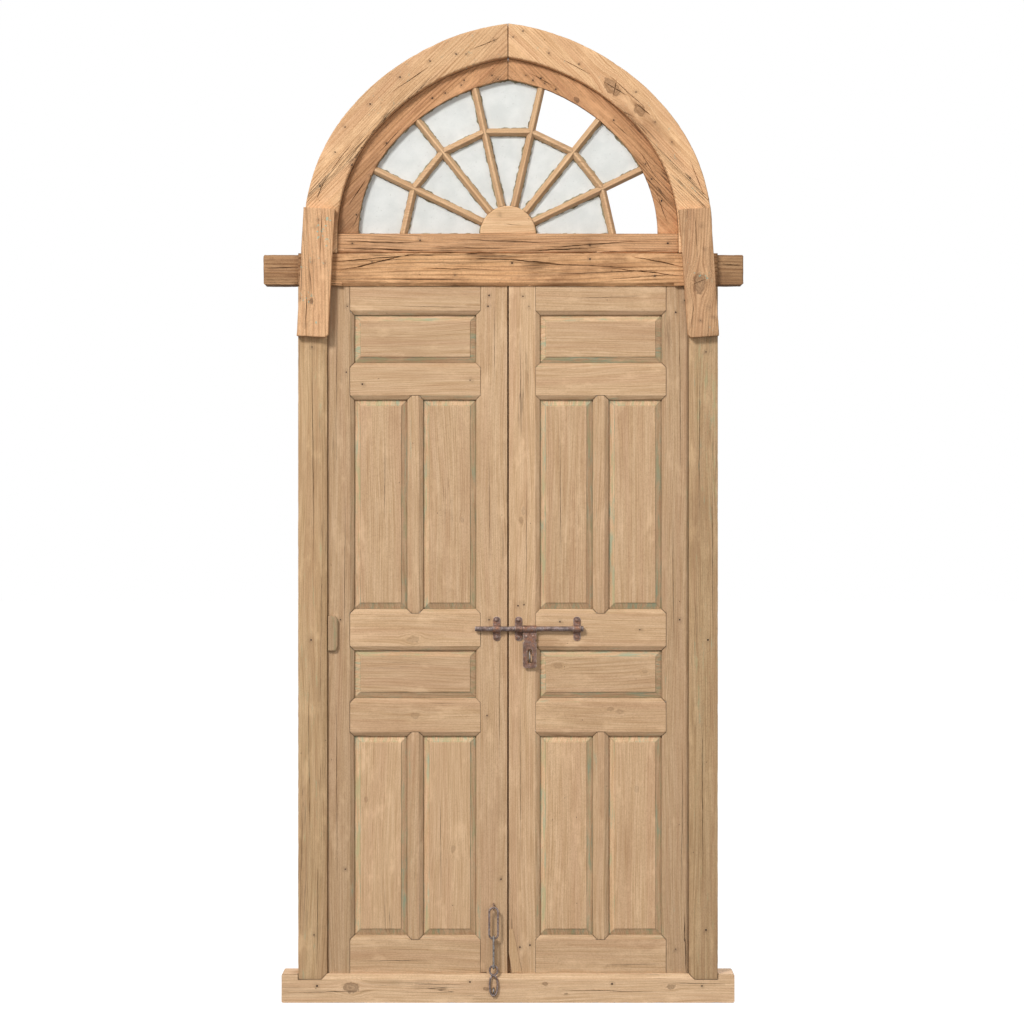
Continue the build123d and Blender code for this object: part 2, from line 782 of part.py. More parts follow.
def make_leaf(side, name, stile_cutters):
    """One leaf, piece by piece. The cutters are what else is let into its stiles."""
    place = rows()
    cuts = [opening_cut(opening) for opening in openings(side)]
    span = sorted((side * OPENING_IN, side * OPENING_OUT))
    middle = side * (OPENING_IN + OPENING_OUT) / 2
    muntins = {}
    for row in ("upper", "lower"):
        low, high = place[row]
        x0 = middle - MUNTIN_W / 2
        muntins[row] = make_muntin(x0, x0 + MUNTIN_W, low, high)
    rails = {}
    for row in ("top_rail", "frieze_rail", "lock_rail", "middle_rail", "bottom_rail"):
        low, high = place[row]
        at_top = row == "top_rail"
        at_bottom = row == "bottom_rail"
        with BuildPart() as rail:
            add(make_rail(span, low, high, at_top, at_bottom))
            for muntin in muntins.values():
                add(muntin, mode=Mode.SUBTRACT)
            for cut in cuts:
                add(cut, mode=Mode.SUBTRACT)
        rails[row] = rail.part
    whole_rails = [
        make_rail(span, *place[row], row == "top_rail", row == "bottom_rail")
        for row in rails
    ]
    outer = make_outer_stile(side, whole_rails + cuts)
    meeting = make_meeting_stile(side, whole_rails + cuts + stile_cutters)
    finish(f"{name}_hanging_stile", outer)
    finish(f"{name}_meeting_stile", meeting)
    for row, rail in rails.items():
        finish(f"{name}_{row}", rail)
    for row, muntin in muntins.items():
        with BuildPart() as upright:
            add(muntin)
            for cut in cuts:
                add(cut, mode=Mode.SUBTRACT)
        finish(f"{name}_{row}_muntin", upright.part)
    spots = openings(side)
    finish(f"{name}_top_panel", make_panel(spots[0]))
    finish(f"{name}_middle_panel", make_panel(spots[1]))
    for row, pair in (("upper", spots[2:4]), ("lower", spots[4:6])):
        panels = [make_panel(spot) for spot in pair]
        finish(f"{name}_{row}_panels", Compound(children=panels))


# Ironwork


def make_staple(x, z, height, nose_y, root_y, wire):
    """A staple driven in from outside: two legs, one above the other, and a round nose."""
    r = height / 2
    with BuildPart() as staple:
        with BuildLine(Plane.YZ.offset(x)):
            Line((root_y, z - r), (nose_y + r, z - r))
            CenterArc((nose_y + r, z), r, 270, -180)
            Line((nose_y + r, z + r), (root_y, z + r))
        with BuildSketch(Plane(origin=(x, root_y, z - r), x_dir=(1, 0, 0), z_dir=(0, -1, 0))):
            Circle(wire / 2)
        sweep()
    return staple.part


def make_keeper(x):
    """A strap bent out round the bolt, with a rounded foot above and below."""
    bore = BOLT_R + KEEPER_PLAY
    outer = bore + KEEPER_T
    with BuildPart() as keeper:
        with BuildSketch(Plane.YZ.offset(x - KEEPER_W / 2)):
            with Locations((LEAF_FRONT - KEEPER_T / 2, BOLT_Z)):
                Rectangle(KEEPER_T, KEEPER_H)
            with Locations((BOLT_Y, BOLT_Z)):
                Circle(outer)
            with Locations(((BOLT_Y + LEAF_FRONT) / 2, BOLT_Z)):
                Rectangle(BOLT_STANDOFF, 2 * outer)
            with Locations((BOLT_Y, BOLT_Z)):
                Circle(bore, mode=Mode.SUBTRACT)
            with Locations(((BOLT_Y + LEAF_FRONT) / 2, BOLT_Z)):
                Rectangle(BOLT_STANDOFF, 2 * bore, mode=Mode.SUBTRACT)
        extrude(amount=KEEPER_W)
        corners = keeper.edges().filter_by(Axis.Y).group_by(Axis.Z)
        fillet(corners[0] + corners[-1], KEEPER_W / 2 - 1)
    return keeper.part


def make_bolt():
    with BuildPart() as bolt:
        with BuildSketch(Plane.YZ.offset(BOLT_LEFT)):
            with Locations((BOLT_Y, BOLT_Z)):
                Circle(BOLT_R)
        extrude(amount=BOLT_RIGHT - BOLT_LEFT)
        tip = bolt.edges().filter_by(GeomType.CIRCLE).sort_by(Axis.X)[0]
        chamfer(tip, BOLT_EASE)
        with BuildSketch(Plane.YZ.offset(BOLT_RIGHT)):
            with Locations((BOLT_Y, BOLT_Z)):
                Circle(BOLT_HEAD_R)
        extrude(amount=BOLT_HEAD_L)
        head = bolt.edges().filter_by(GeomType.CIRCLE).sort_by(Axis.X)[-1]
        chamfer(head, BOLT_EASE)
    return bolt.part


def make_hasp():
    """The hasp: an eye round the bolt and a hanging plate with a slot for the staple."""
    bore = BOLT_R + KEEPER_PLAY
    outer = bore + HASP_EYE_T
    middle = HASP_LEFT + HASP_W / 2
    top = BOLT_Z - bore - HASP_EYE_T / 2
    low = BOLT_Z - HASP_DROP
    with BuildPart() as hasp:
        with BuildSketch(facing(BOLT_Y + HASP_T / 2)):
            with Locations((middle, (top + low) / 2)):
                Rectangle(HASP_W, top - low)
            notch_z = BOLT_Z - HASP_NOTCH_DROP
            with Locations((HASP_LEFT, notch_z), (HASP_LEFT + HASP_W, notch_z)):
                Circle(HASP_NOTCH_R, mode=Mode.SUBTRACT)
            with Locations(Location((middle, BOLT_Z - HASP_SLOT_DROP, 0), (0, 0, 90))):
                SlotOverall(HASP_SLOT_H, HASP_SLOT_W, mode=Mode.SUBTRACT)
        extrude(amount=HASP_T)
        foot = hasp.edges().filter_by(Axis.Y).group_by(Axis.Z)[0]
        fillet(foot, HASP_CORNER_R)
        with BuildSketch(Plane.YZ.offset(HASP_LEFT)):
            with Locations((BOLT_Y, BOLT_Z)):
                Circle(outer)
                Circle(bore, mode=Mode.SUBTRACT)
        extrude(amount=HASP_W)
    return hasp.part


def ring_link(length, width, centre, edge_on):
    """A closed oval link. Its plane faces the front, or stands edge-on to it."""
    r = (width - LINK_WIRE) / 2
    half = (length - LINK_WIRE) / 2 - r
    if edge_on:
        plane = Plane(origin=centre, x_dir=(0, 1, 0), z_dir=(1, 0, 0))
    else:
        plane = Plane(origin=centre, x_dir=(1, 0, 0), z_dir=(0, -1, 0))
    with BuildPart() as link:
        with BuildLine(plane):
            Line((r, -half), (r, half))
            CenterArc((0, half), r, 0, 180)
            Line((-r, half), (-r, -half))
            CenterArc((0, -half), r, 180, 180)
        start = plane.from_local_coords((r, -half, 0))
        with BuildSketch(Plane(origin=start, x_dir=plane.x_dir, z_dir=plane.y_dir)):
            Circle(LINK_WIRE / 2)
        sweep()
    return link.part


CROSSING = LINK_WIRE + LINK_PLAY  # between the middles of two wires that hang in each other
TOP_LINK_Z = CHAIN_TOP_Z
MIDDLE_LINK_Z = TOP_LINK_Z - (TOP_LINK_L - LINK_WIRE) + CROSSING
END_LINK_Z = MIDDLE_LINK_Z - (MIDDLE_LINK_L - LINK_WIRE) + CROSSING


def hung(length, top_z):
    """The middle of a link that hangs with its top wire's middle at this height."""
    return (CHAIN_X, CHAIN_Y, top_z - (length - LINK_WIRE) / 2)


def make_end_link():
    """The end link: a wire bent to a figure of eight, a short loop over a long one."""
    with BuildPart() as link:
        add(ring_link(END_UPPER_L, END_LOOP_W, hung(END_UPPER_L, END_LINK_Z), False))
        waist = END_LINK_Z - (END_UPPER_L - LINK_WIRE)
        add(ring_link(END_LOWER_L, END_LOOP_W, hung(END_LOWER_L, waist), False))
    return link.part


def make_block():
    """The small wooden block on the left leaf's stile."""
    x = -LIP_X + BLOCK_INSET
    top = BLOCK_Z + BLOCK_H / 2
    low = BLOCK_Z - BLOCK_H / 2
    points = [
        (x, low),
        (x + BLOCK_W - BLOCK_CORNER, low),
        (x + BLOCK_W, low + 2 * BLOCK_CORNER),
        (x + BLOCK_W, top - 2 * BLOCK_CORNER),
        (x + BLOCK_W - BLOCK_CORNER, top),
        (x, top),
    ]
    with BuildPart() as piece:
        add(slab(points, LEAF_FRONT - BLOCK_T, LEAF_FRONT))
        face = piece.faces().sort_by(Axis.Y)[0]
        chamfer(face.edges(), BLOCK_EASE)
    return piece.part


# The whole door

hasp_staple_z = BOLT_Z - HASP_SLOT_DROP
hasp_staple = make_staple(
    HASP_LEFT + HASP_W / 2,
    hasp_staple_z,
    HASP_STAPLE_H,
    BOLT_Y - HASP_STAPLE_REACH - STAPLE_WIRE / 2,
    LEAF_FRONT + STAPLE_ROOT,
    STAPLE_WIRE,
)
leg_drop = (CHAIN_STAPLE_WIRE + LINK_WIRE) / 2 + LINK_PLAY
chain_staple = make_staple(
    CHAIN_X,
    CHAIN_TOP_Z - leg_drop + CHAIN_STAPLE_H / 2,
    CHAIN_STAPLE_H,
    CHAIN_Y - LINK_WIRE,
    LEAF_FRONT + STAPLE_ROOT,
    CHAIN_STAPLE_WIRE,
)
end_loop_z = END_LINK_Z - (END_UPPER_L - LINK_WIRE) - (END_LOWER_L - LINK_WIRE)
sill_staple = make_staple(
    CHAIN_X,
    end_loop_z + leg_drop + CHAIN_STAPLE_H / 2,
    CHAIN_STAPLE_H,
    CHAIN_Y - LINK_WIRE,
    FRONT + STAPLE_ROOT,
    CHAIN_STAPLE_WIRE,
)
patch = slab(patch_outline(), LEAF_FRONT - PATCH_PROUD, LEAF_FRONT - PATCH_PROUD + PATCH_T)

with BuildPart() as sill:
    add(make_sill())
    add(sill_staple, mode=Mode.SUBTRACT)
finish("sill", sill.part)
finish("left_post", make_post(-1))
finish("right_post", make_post(1))
finish("transom_beam", make_beam())
fan_rail = make_fan_rail()
finish("fan_rail", fan_rail)
finish("left_arch", make_arch(-1))
finish("right_arch", make_arch(1))
linings = [make_lining(-1), make_lining(1)]
finish("left_lining", linings[0])
finish("right_lining", linings[1])
finish("left_board", make_board(-1, LEFT_BOARD_LEAN_DEG))
finish("right_board", make_board(1, RIGHT_BOARD_LEAN_DEG))

hub = make_hub()
finish("fan_hub", hub)
radials = [make_radial_bar(k, hub, linings) for k in range(1, BAR_COUNT + 1)]
for k, bar in enumerate(radials, 1):
    finish(f"radial_bar_{k}", bar)
ring = [make_ring_bar(k, radials, fan_rail) for k in range(BAR_COUNT + 1)]
finish("ring_bars", Compound(children=ring))

panes = glass_fields()
near_panes = []
far_panes = []
for pane in panes:
    distance, sector = field_place(pane)
    outer = distance > RING_R
    if outer and sector in LOST_PANES:
        continue
    (far_panes if outer else near_panes).append(pane)
finish("inner_panes", Compound(children=near_panes))
finish("outer_panes", Compound(children=far_panes))

make_leaf(-1, "left", [chain_staple])
make_leaf(1, "right", [hasp_staple, patch, broken_corner()])

finish("left_keeper", make_keeper(KEEPER_XS[0]))
finish("middle_keeper", make_keeper(KEEPER_XS[1]))
finish("end_keeper", make_keeper(KEEPER_XS[2]))
finish("bolt_rod", make_bolt())
finish("hasp", make_hasp())
finish("hasp_staple", hasp_staple)
finish("chain_staple", chain_staple)
finish("sill_staple", sill_staple)
finish("top_link", ring_link(TOP_LINK_L, TOP_LINK_W, hung(TOP_LINK_L, TOP_LINK_Z), False))
middle_centre = hung(MIDDLE_LINK_L, MIDDLE_LINK_Z)
finish("middle_link", ring_link(MIDDLE_LINK_L, MIDDLE_LINK_W, middle_centre, True))
finish("end_link", make_end_link())
finish("stop_block", make_block())
finish("repair_patch", patch)
print(len(pieces), "pieces")
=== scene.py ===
"""Looks of the antique double door: weathered wood, old ironwork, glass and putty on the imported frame."""

import json
import math
import random

import bmesh
import bpy
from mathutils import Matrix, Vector, noise
from mathutils.bvhtree import BVHTree


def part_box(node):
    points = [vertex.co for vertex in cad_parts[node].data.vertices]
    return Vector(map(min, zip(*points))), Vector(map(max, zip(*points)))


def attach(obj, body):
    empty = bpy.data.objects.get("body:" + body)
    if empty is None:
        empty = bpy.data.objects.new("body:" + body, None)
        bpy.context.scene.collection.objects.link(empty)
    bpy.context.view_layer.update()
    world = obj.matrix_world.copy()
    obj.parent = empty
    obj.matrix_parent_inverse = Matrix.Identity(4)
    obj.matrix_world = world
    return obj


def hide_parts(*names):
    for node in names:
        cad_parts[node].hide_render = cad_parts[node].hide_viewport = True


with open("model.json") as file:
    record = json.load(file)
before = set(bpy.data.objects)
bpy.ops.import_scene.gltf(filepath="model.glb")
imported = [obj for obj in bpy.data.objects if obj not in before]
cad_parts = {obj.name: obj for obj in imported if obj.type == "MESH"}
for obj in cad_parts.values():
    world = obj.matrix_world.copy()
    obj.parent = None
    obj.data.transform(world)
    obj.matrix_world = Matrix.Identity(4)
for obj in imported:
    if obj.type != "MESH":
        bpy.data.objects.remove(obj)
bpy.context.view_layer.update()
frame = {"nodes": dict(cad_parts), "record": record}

PIXEL = 0.0032  # metres of the front plane to a pixel of the photograph
MIDDLE_PX = 508
FLOOR_PX = 1003
FRONT = -0.055
LEAF_FRONT = -0.039
BOLT_Y = -0.051
BOLT_Z = 1.197
CHAIN_X = -0.046
CHAIN_Y = -0.0625
SPRING_Z = 2.464

body_of = {n: b for b, members in frame["record"]["behaviour"]["bodies"].items() for n in members}


def spot(px, py):
    """The x and z of a pixel of the photograph."""
    return (px - MIDDLE_PX) * PIXEL, (FLOOR_PX - py) * PIXEL


def srgb(r, g, b):
    """A colour from its 0 to 255 display values."""
    return tuple((v / 255 / 12.92) if v < 10 else ((v / 255 + 0.055) / 1.055) ** 2.4 for v in (r, g, b)) + (1,)


# Camera, light and floor

VIEW_W = 3.277
DISTANCE = 9.0
camera = bpy.data.objects.new("camera", bpy.data.cameras.new("camera"))
bpy.context.scene.collection.objects.link(camera)
camera.data.lens = 36 * DISTANCE / VIEW_W
camera.location = (0.0128, FRONT - DISTANCE, 1.571)
camera.rotation_euler = (math.pi / 2, 0, 0)
bpy.context.scene.camera = camera
bpy.context.scene.view_settings.view_transform = "Standard"


def lamp(name, place, size, energy):
    light = bpy.data.lights.new(name, "AREA")
    light.shape = "DISK"
    light.size = size
    light.energy = energy
    lit = bpy.data.objects.new(name, light)
    bpy.context.scene.collection.objects.link(lit)
    lit.location = place
    lit.rotation_euler = (Vector((0, 0, 1.5)) - Vector(place)).to_track_quat("-Z", "Y").to_euler()


lamp("key", (-4.6, -8.2, 8.0), 2.8, 920)
lamp("fill", (5.0, -8.0, 2.5), 4.0, 110)
lamp("rear", (1.5, 7.0, 4.5), 3.0, 260)

world = bpy.data.worlds.new("studio")
bpy.context.scene.world = world
world.use_nodes = True
sky = world.node_tree
sky.nodes.clear()
rays = sky.nodes.new("ShaderNodeLightPath")
seen = sky.nodes.new("ShaderNodeMath")
seen.operation = "MAXIMUM"
sky.links.new(rays.outputs["Is Camera Ray"], seen.inputs[0])
sky.links.new(rays.outputs["Is Transmission Ray"], seen.inputs[1])
soft = sky.nodes.new("ShaderNodeBackground")
soft.inputs["Color"].default_value = (1, 1, 1, 1)
soft.inputs["Strength"].default_value = 0.5
white = sky.nodes.new("ShaderNodeBackground")
white.inputs["Color"].default_value = (1, 1, 1, 1)
white.inputs["Strength"].default_value = 1
blend = sky.nodes.new("ShaderNodeMixShader")
shown = sky.nodes.new("ShaderNodeOutputWorld")
sky.links.new(seen.outputs[0], blend.inputs[0])
sky.links.new(soft.outputs[0], blend.inputs[1])
sky.links.new(white.outputs[0], blend.inputs[2])
sky.links.new(blend.outputs[0], shown.inputs[0])


# Materials


class Graph:
    """A material's nodes, added in short calls."""

    def __init__(self, name):
        self.mat = bpy.data.materials.new(name)
        self.mat.use_nodes = True
        self.tree = self.mat.node_tree
        self.tree.nodes.clear()

    def node(self, kind, inputs, out=0, **props):
        made = self.tree.nodes.new(kind)
        for key, value in props.items():
            setattr(made, key, value)
        for key, value in inputs.items():
            if isinstance(value, bpy.types.NodeSocket):
                self.tree.links.new(value, made.inputs[key])
            else:
                made.inputs[key].default_value = value
        return made.outputs[out]

    def math(self, operation, a, b=0.0, c=0.0):
        return self.node("ShaderNodeMath", {0: a, 1: b, 2: c}, operation=operation)

    def vector(self, operation, a, b=(0, 0, 0), out=0):
        return self.node("ShaderNodeVectorMath", {0: a, 1: b}, out=out, operation=operation)

    def noise(self, vector, detail=2.0, rough=0.5, scale=1.0):
        return self.node("ShaderNodeTexNoise", {"Vector": vector, "Scale": scale, "Detail": detail, "Roughness": rough})

    def ramp(self, value, low, high, to_low=0.0, to_high=1.0):
        """A smooth step of the value between low and high."""
        steps = {"Value": value, "From Min": low, "From Max": high, "To Min": to_low, "To Max": to_high}
        return self.node("ShaderNodeMapRange", steps, interpolation_type="SMOOTHSTEP")

    def mix(self, factor, a, b, blend="MIX"):
        return self.node("ShaderNodeMix", {0: factor, 6: a, 7: b}, out=2, data_type="RGBA", blend_type=blend)

    def attribute(self, name, out):
        return self.node("ShaderNodeAttribute", {}, out=out, attribute_name=name)

    def finish(self, **sockets):
        shader = self.tree.nodes.new("ShaderNodeBsdfPrincipled")
        for key, value in sockets.items():
            key = key.replace("_", " ")
            if isinstance(value, bpy.types.NodeSocket):
                self.tree.links.new(value, shader.inputs[key])
            else:
                shader.inputs[key].default_value = value
        surface = self.tree.nodes.new("ShaderNodeOutputMaterial")
        self.tree.links.new(shader.outputs[0], surface.inputs[0])
        return self.mat


knots = {}


def wood(name, light, mid, dark, ring=0.007, checks=0.5, stain=0.4, figure=0.35, flecks=0.0, relief=0.55):
    """Old softwood. Its grain runs along the x of the piece's own grain coordinates."""
    g = Graph(name)
    grain = g.attribute("grain", "Vector")
    trait = g.attribute("trait", "Vector")
    painted = g.attribute("paint", "Fac")
    parts = g.node("ShaderNodeSeparateXYZ", {0: trait})
    stained = parts
    seam = g.attribute("seam", "Fac")
    tone = parts.node.outputs[1]
    fresh = parts.node.outputs[2]
    split = g.node("ShaderNodeSeparateXYZ", {0: grain})
    across = split.node.outputs[1]
    depth = split.node.outputs[2]
    knot_wood = None
    for along_k, across_k, radius, strength in knots.get(name, []):
        offset = g.vector("SUBTRACT", grain, (along_k, across_k, 0))
        offset = g.vector("MULTIPLY", offset, (0.62 / radius, 1 / radius, 0))
        wave = g.noise(grain, 4, 0.65, 0.8 / radius)
        reach = g.math("ADD", g.vector("LENGTH", offset, out=1), g.math("MULTIPLY_ADD", wave, 1.9, -0.95))
        near = g.ramp(reach, 0.2, 3.6, 0.88, 0.0)
        away = g.math("SUBTRACT", across, across_k)
        across = g.math("SUBTRACT", across, g.math("MULTIPLY", away, near))
        inside = g.ramp(reach, 0.86, 1.06, 1.0, 0.0)
        rings = g.math("SINE", g.math("MULTIPLY", reach, 12.0))
        heart = g.math("MULTIPLY", inside, g.math("MULTIPLY_ADD", rings, 0.14 * strength, 0.46 * strength))
        rim = g.math("MULTIPLY", g.ramp(reach, 0.72, 0.92), g.ramp(reach, 0.98, 1.3, 0.62 * strength, 0.0))
        heart = g.math("MAXIMUM", heart, rim)
        knot_wood = heart if knot_wood is None else g.math("MAXIMUM", knot_wood, heart)
    warp = g.noise(g.vector("MULTIPLY", grain, (1.5, 11, 11)), 3)
    sway = g.noise(g.vector("MULTIPLY", grain, (0.9, 5, 5)), 1)
    phase = g.math("MULTIPLY_ADD", depth, 0.7, across)
    phase = g.math("MULTIPLY_ADD", warp, 0.014, phase)
    phase = g.math("MULTIPLY_ADD", sway, 0.09, phase)
    late = g.math("SINE", g.math("MULTIPLY", phase, 2 * math.pi / ring))
    late = g.ramp(late, -0.1, 1.0)
    near_rings = g.node("ShaderNodeCombineXYZ", {0: split, 1: phase, 2: depth})
    streak = g.noise(g.vector("MULTIPLY", near_rings, (5, 210, 110)), 4, 0.6)
    band = g.noise(g.vector("MULTIPLY", near_rings, (1.4, 30, 20)), 3, 0.55)
    fibre = g.noise(g.vector("MULTIPLY", near_rings, (40, 900, 500)), 3, 0.6)
    speck = g.noise(grain, 3, 0.7, 330)
    blotch = g.noise(g.vector("MULTIPLY", grain, (3.5, 8, 8)), 4, 0.6)
    cloud = g.noise(g.vector("MULTIPLY", grain, (9, 24, 24)), 4, 0.65)
    colour = g.mix(g.ramp(streak, 0.3, 0.7), light, mid)
    colour = g.mix(g.ramp(streak, 0.58, 0.85, 0, 0.5), colour, dark)
    rosy = tuple(m * k for m, k in zip(mid[:3], (0.99, 0.90, 0.98))) + (1,)
    colour = g.mix(g.ramp(band, 0.4, 0.7, 0, 0.4), colour, rosy)
    colour = g.mix(g.ramp(speck, 0.42, 0.72, 0, 0.42), colour, dark)
    lines = g.math("MULTIPLY", late, g.ramp(streak, 0.3, 0.8, 0.25 * figure, figure))
    colour = g.mix(lines, colour, dark)
    colour = g.mix(g.math("MULTIPLY", g.ramp(fibre, 0.5, 0.8), 0.28), colour, dark)
    colour = g.mix(g.math("MULTIPLY", g.ramp(blotch, 0.5, 0.78), stain), colour, dark)
    pale = tuple(min(1, 1.16 * c) for c in light[:3]) + (1,)
    colour = g.mix(g.ramp(cloud, 0.52, 0.75, 0, 0.5), colour, pale)
    checked = g.noise(g.vector("MULTIPLY", near_rings, (2.6, 130, 60)), 3, 0.5)
    thin = g.ramp(g.math("ABSOLUTE", g.math("SUBTRACT", checked, 0.5)), 0.0, 0.03, 1, 0)
    where = g.noise(g.vector("MULTIPLY", grain, (2.2, 12, 12)), 2)
    thin = g.math("MULTIPLY", thin, g.ramp(where, 0.68 - 0.22 * checks, 0.8 - 0.16 * checks))
    cells = {"Vector": grain, "Scale": 26.0}
    worm = g.node("ShaderNodeTexVoronoi", cells)
    pick = g.node("ShaderNodeTexVoronoi", cells, out="Color")
    pick = g.ramp(pick, 0.62, 0.64)
    worm = g.math("MULTIPLY", g.ramp(worm, 0.028, 0.045, 1, 0), pick)
    marks = g.math("MAXIMUM", g.math("MULTIPLY", thin, min(1, 0.45 + checks)), worm)
    deep = tuple(0.22 * c for c in dark[:3]) + (1,)
    colour = g.mix(g.math("MULTIPLY", marks, 0.9), colour, deep)
    if knot_wood is not None:
        colour = g.mix(knot_wood, colour, tuple(0.5 * c for c in dark[:3]) + (1,))
    flakes = g.noise(g.vector("MULTIPLY", grain, (11, 85, 85)), 6, 0.7)
    drift = g.noise(g.vector("MULTIPLY", grain, (1.8, 6, 6)), 2)
    cover = g.math("MULTIPLY_ADD", painted, 0.34, g.math("MULTIPLY_ADD", drift, 0.3, flakes))
    cover = g.ramp(cover, 0.84, 1.04, 0, 0.62)
    tint = g.noise(g.vector("MULTIPLY", grain, (9, 20, 20)), 2)
    hue = g.mix(g.ramp(tint, 0.45, 0.62), srgb(164, 166, 124), srgb(134, 170, 144))
    colour = g.mix(cover, colour, hue)
    if flecks:
        chips = g.ramp(g.noise(grain, 3, 0.6, 95), 0.61, 0.65)
        chips = g.math("MULTIPLY", chips, g.ramp(g.noise(grain, 2, 0.5, 16), 0.54, 0.62, 0, flecks))
        colour = g.mix(chips, colour, srgb(142, 176, 158))
    # Nail stains, dark carved cracks, and dirt with painted shade along the seams pull the colour towards deep brown.
    colour = g.mix(g.math("MAXIMUM", stained, g.math("MULTIPLY", seam, 0.78)), colour, deep)
    colour = g.mix(fresh, colour, srgb(214, 170, 118), "MIX")
    # The colour's value is scaled by the piece's tone and by the painted light and shade on slopes, steps and rings.
    sloping = g.attribute("slope", "Fac")
    shade = g.node("ShaderNodeHueSaturation", {"Color": colour, "Value": g.math("MULTIPLY", tone, sloping)})
    height = g.math("MULTIPLY_ADD", late, 0.22, g.math("MULTIPLY", streak, 0.7))
    height = g.math("MULTIPLY_ADD", fibre, 0.35, height)
    height = g.math("MULTIPLY_ADD", marks, -1.3, height)
    height = g.math("MULTIPLY_ADD", cover, 0.2, height)
    bump = g.node("ShaderNodeBump", {"Height": height, "Strength": relief, "Distance": 0.0011})
    rough = g.ramp(streak, 0.3, 0.7, 0.62, 0.82)
    return g.finish(Base_Color=shade, Roughness=rough, Normal=bump, Specular_IOR_Level=0.28)


def iron(name, base, rust, bright, wear):
    """Old wrought iron: brown-purple scale, rust in the hollows, convex edges brighter where it rubs: edge wear with a
    painted highlight.
    """
    g = Graph(name)
    where = g.node("ShaderNodeTexCoord", {}, out="Object")
    big = g.noise(where, 4, 0.65, 90)
    small = g.noise(where, 4, 0.7, 420)
    colour = g.mix(g.ramp(big, 0.42, 0.62), base, rust)
    colour = g.mix(g.ramp(small, 0.38, 0.62, 0, 0.8), colour, tuple(0.3 * c for c in base[:3]) + (1,))
    colour = g.mix(g.ramp(g.noise(where, 3, 0.6, 45), 0.48, 0.6, 0, 0.65), colour, tuple(0.3 * c for c in base[:3]) + (1,))
    # Convex edges turn lighter: edge wear with a painted highlight.
    rubbed = g.node("ShaderNodeNewGeometry", {}, out="Pointiness")
    rubbed = g.ramp(rubbed, 0.5, 0.56)
    rubbed = g.math("MULTIPLY", rubbed, g.ramp(big, 0.35, 0.6, wear, 0.2 * wear))
    colour = g.mix(rubbed, colour, bright)
    bump = g.node("ShaderNodeBump", {"Height": small, "Strength": 0.5, "Distance": 0.0005})
    rough = g.ramp(small, 0.3, 0.7, 0.45, 0.75)
    metal = g.ramp(small, 0.4, 0.7, 0.65, 0.25)
    return g.finish(Base_Color=colour, Roughness=rough, Metallic=metal, Normal=bump)


def glass():
    """Old frosted glass, dusty and a little greenish."""
    g = Graph("old_glass")
    where = g.node("ShaderNodeTexCoord", {}, out="Object")
    dust = g.noise(where, 5, 0.6, 14)
    colour = g.mix(g.ramp(dust, 0.3, 0.7), srgb(232, 233, 229), srgb(218, 220, 216))
    specks = g.ramp(g.noise(where, 2, 0.5, 160), 0.66, 0.72, 0, 0.3)
    colour = g.mix(specks, colour, srgb(180, 180, 170))
    bump = g.node("ShaderNodeBump", {"Height": g.noise(where, 3, 0.5, 30), "Strength": 0.15, "Distance": 0.001})
    return g.finish(Base_Color=colour, Roughness=0.42, Transmission_Weight=0.1, IOR=1.45, Normal=bump)


def putty():
    g = Graph("old_putty")
    where = g.node("ShaderNodeTexCoord", {}, out="Object")
    grime = g.noise(where, 4, 0.7, 60)
    colour = g.mix(g.ramp(grime, 0.35, 0.65), srgb(168, 160, 130), srgb(118, 108, 82))
    bump = g.node("ShaderNodeBump", {"Height": g.noise(where, 4, 0.7, 240), "Strength": 0.7, "Distance": 0.001})
    return g.finish(Base_Color=colour, Roughness=0.88, Normal=bump)


# Wood


def all_surfaces():
    """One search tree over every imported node, with the node that each face belongs to."""
    points, faces, owners = [], [], []
    for name, node in frame["nodes"].items():
        base = len(points)
        points += [v.co.copy() for v in node.data.vertices]
        faces += [[base + i for i in p.vertices] for p in node.data.polygons]
        owners += [name] * len(node.data.polygons)
    return BVHTree.FromPolygons(points, faces), owners


surfaces, owners = all_surfaces()
SEAM_NEAR = 0.0008
SEAM_FAR = 0.0018
TOUCHING = 0.0005


def seam_dirt(node, place):
    """1 where another piece touches here, down to 0 a little way off; this darkens the seams with dirt and painted
    shade.
    """
    nearest = SEAM_FAR
    for _, _, index, distance in surfaces.find_nearest_range(place, SEAM_FAR):
        if owners[index] != node:
            nearest = min(nearest, distance)
    return 1 - max(0.0, (nearest - SEAM_NEAR) / (SEAM_FAR - SEAM_NEAR))


def bisect(bm, faces, place, normal):
    """Cuts these faces by a plane and returns all the faces that they are then."""
    edges = {e for f in faces for e in f.edges}
    points = {v for f in faces for v in f.verts}
    geom = list(points) + list(edges) + list(faces)
    cut = bmesh.ops.bisect_plane(bm, geom=geom, dist=1e-6, plane_co=place, plane_no=normal)
    return [f for f in cut["geom"] if isinstance(f, bmesh.types.BMFace)]


def cut_grid(bm, steps):
    """Cuts a mesh into cells of about these sizes along x, y and z."""
    for axis, step in enumerate(steps):
        if not step:
            continue
        low = min(v.co[axis] for v in bm.verts)
        high = max(v.co[axis] for v in bm.verts)
        count = max(1, round((high - low) / step))
        normal = Vector((0, 0, 0))
        normal[axis] = 1
        rest = list(bm.faces)
        for i in range(1, count):
            place = Vector((0, 0, 0))
            place[axis] = low + (high - low) * i / count
            rest = [f for f in bisect(bm, rest, place, normal) if f.calc_center_median()[axis] > place[axis]]


CRACK_STEP = 0.009


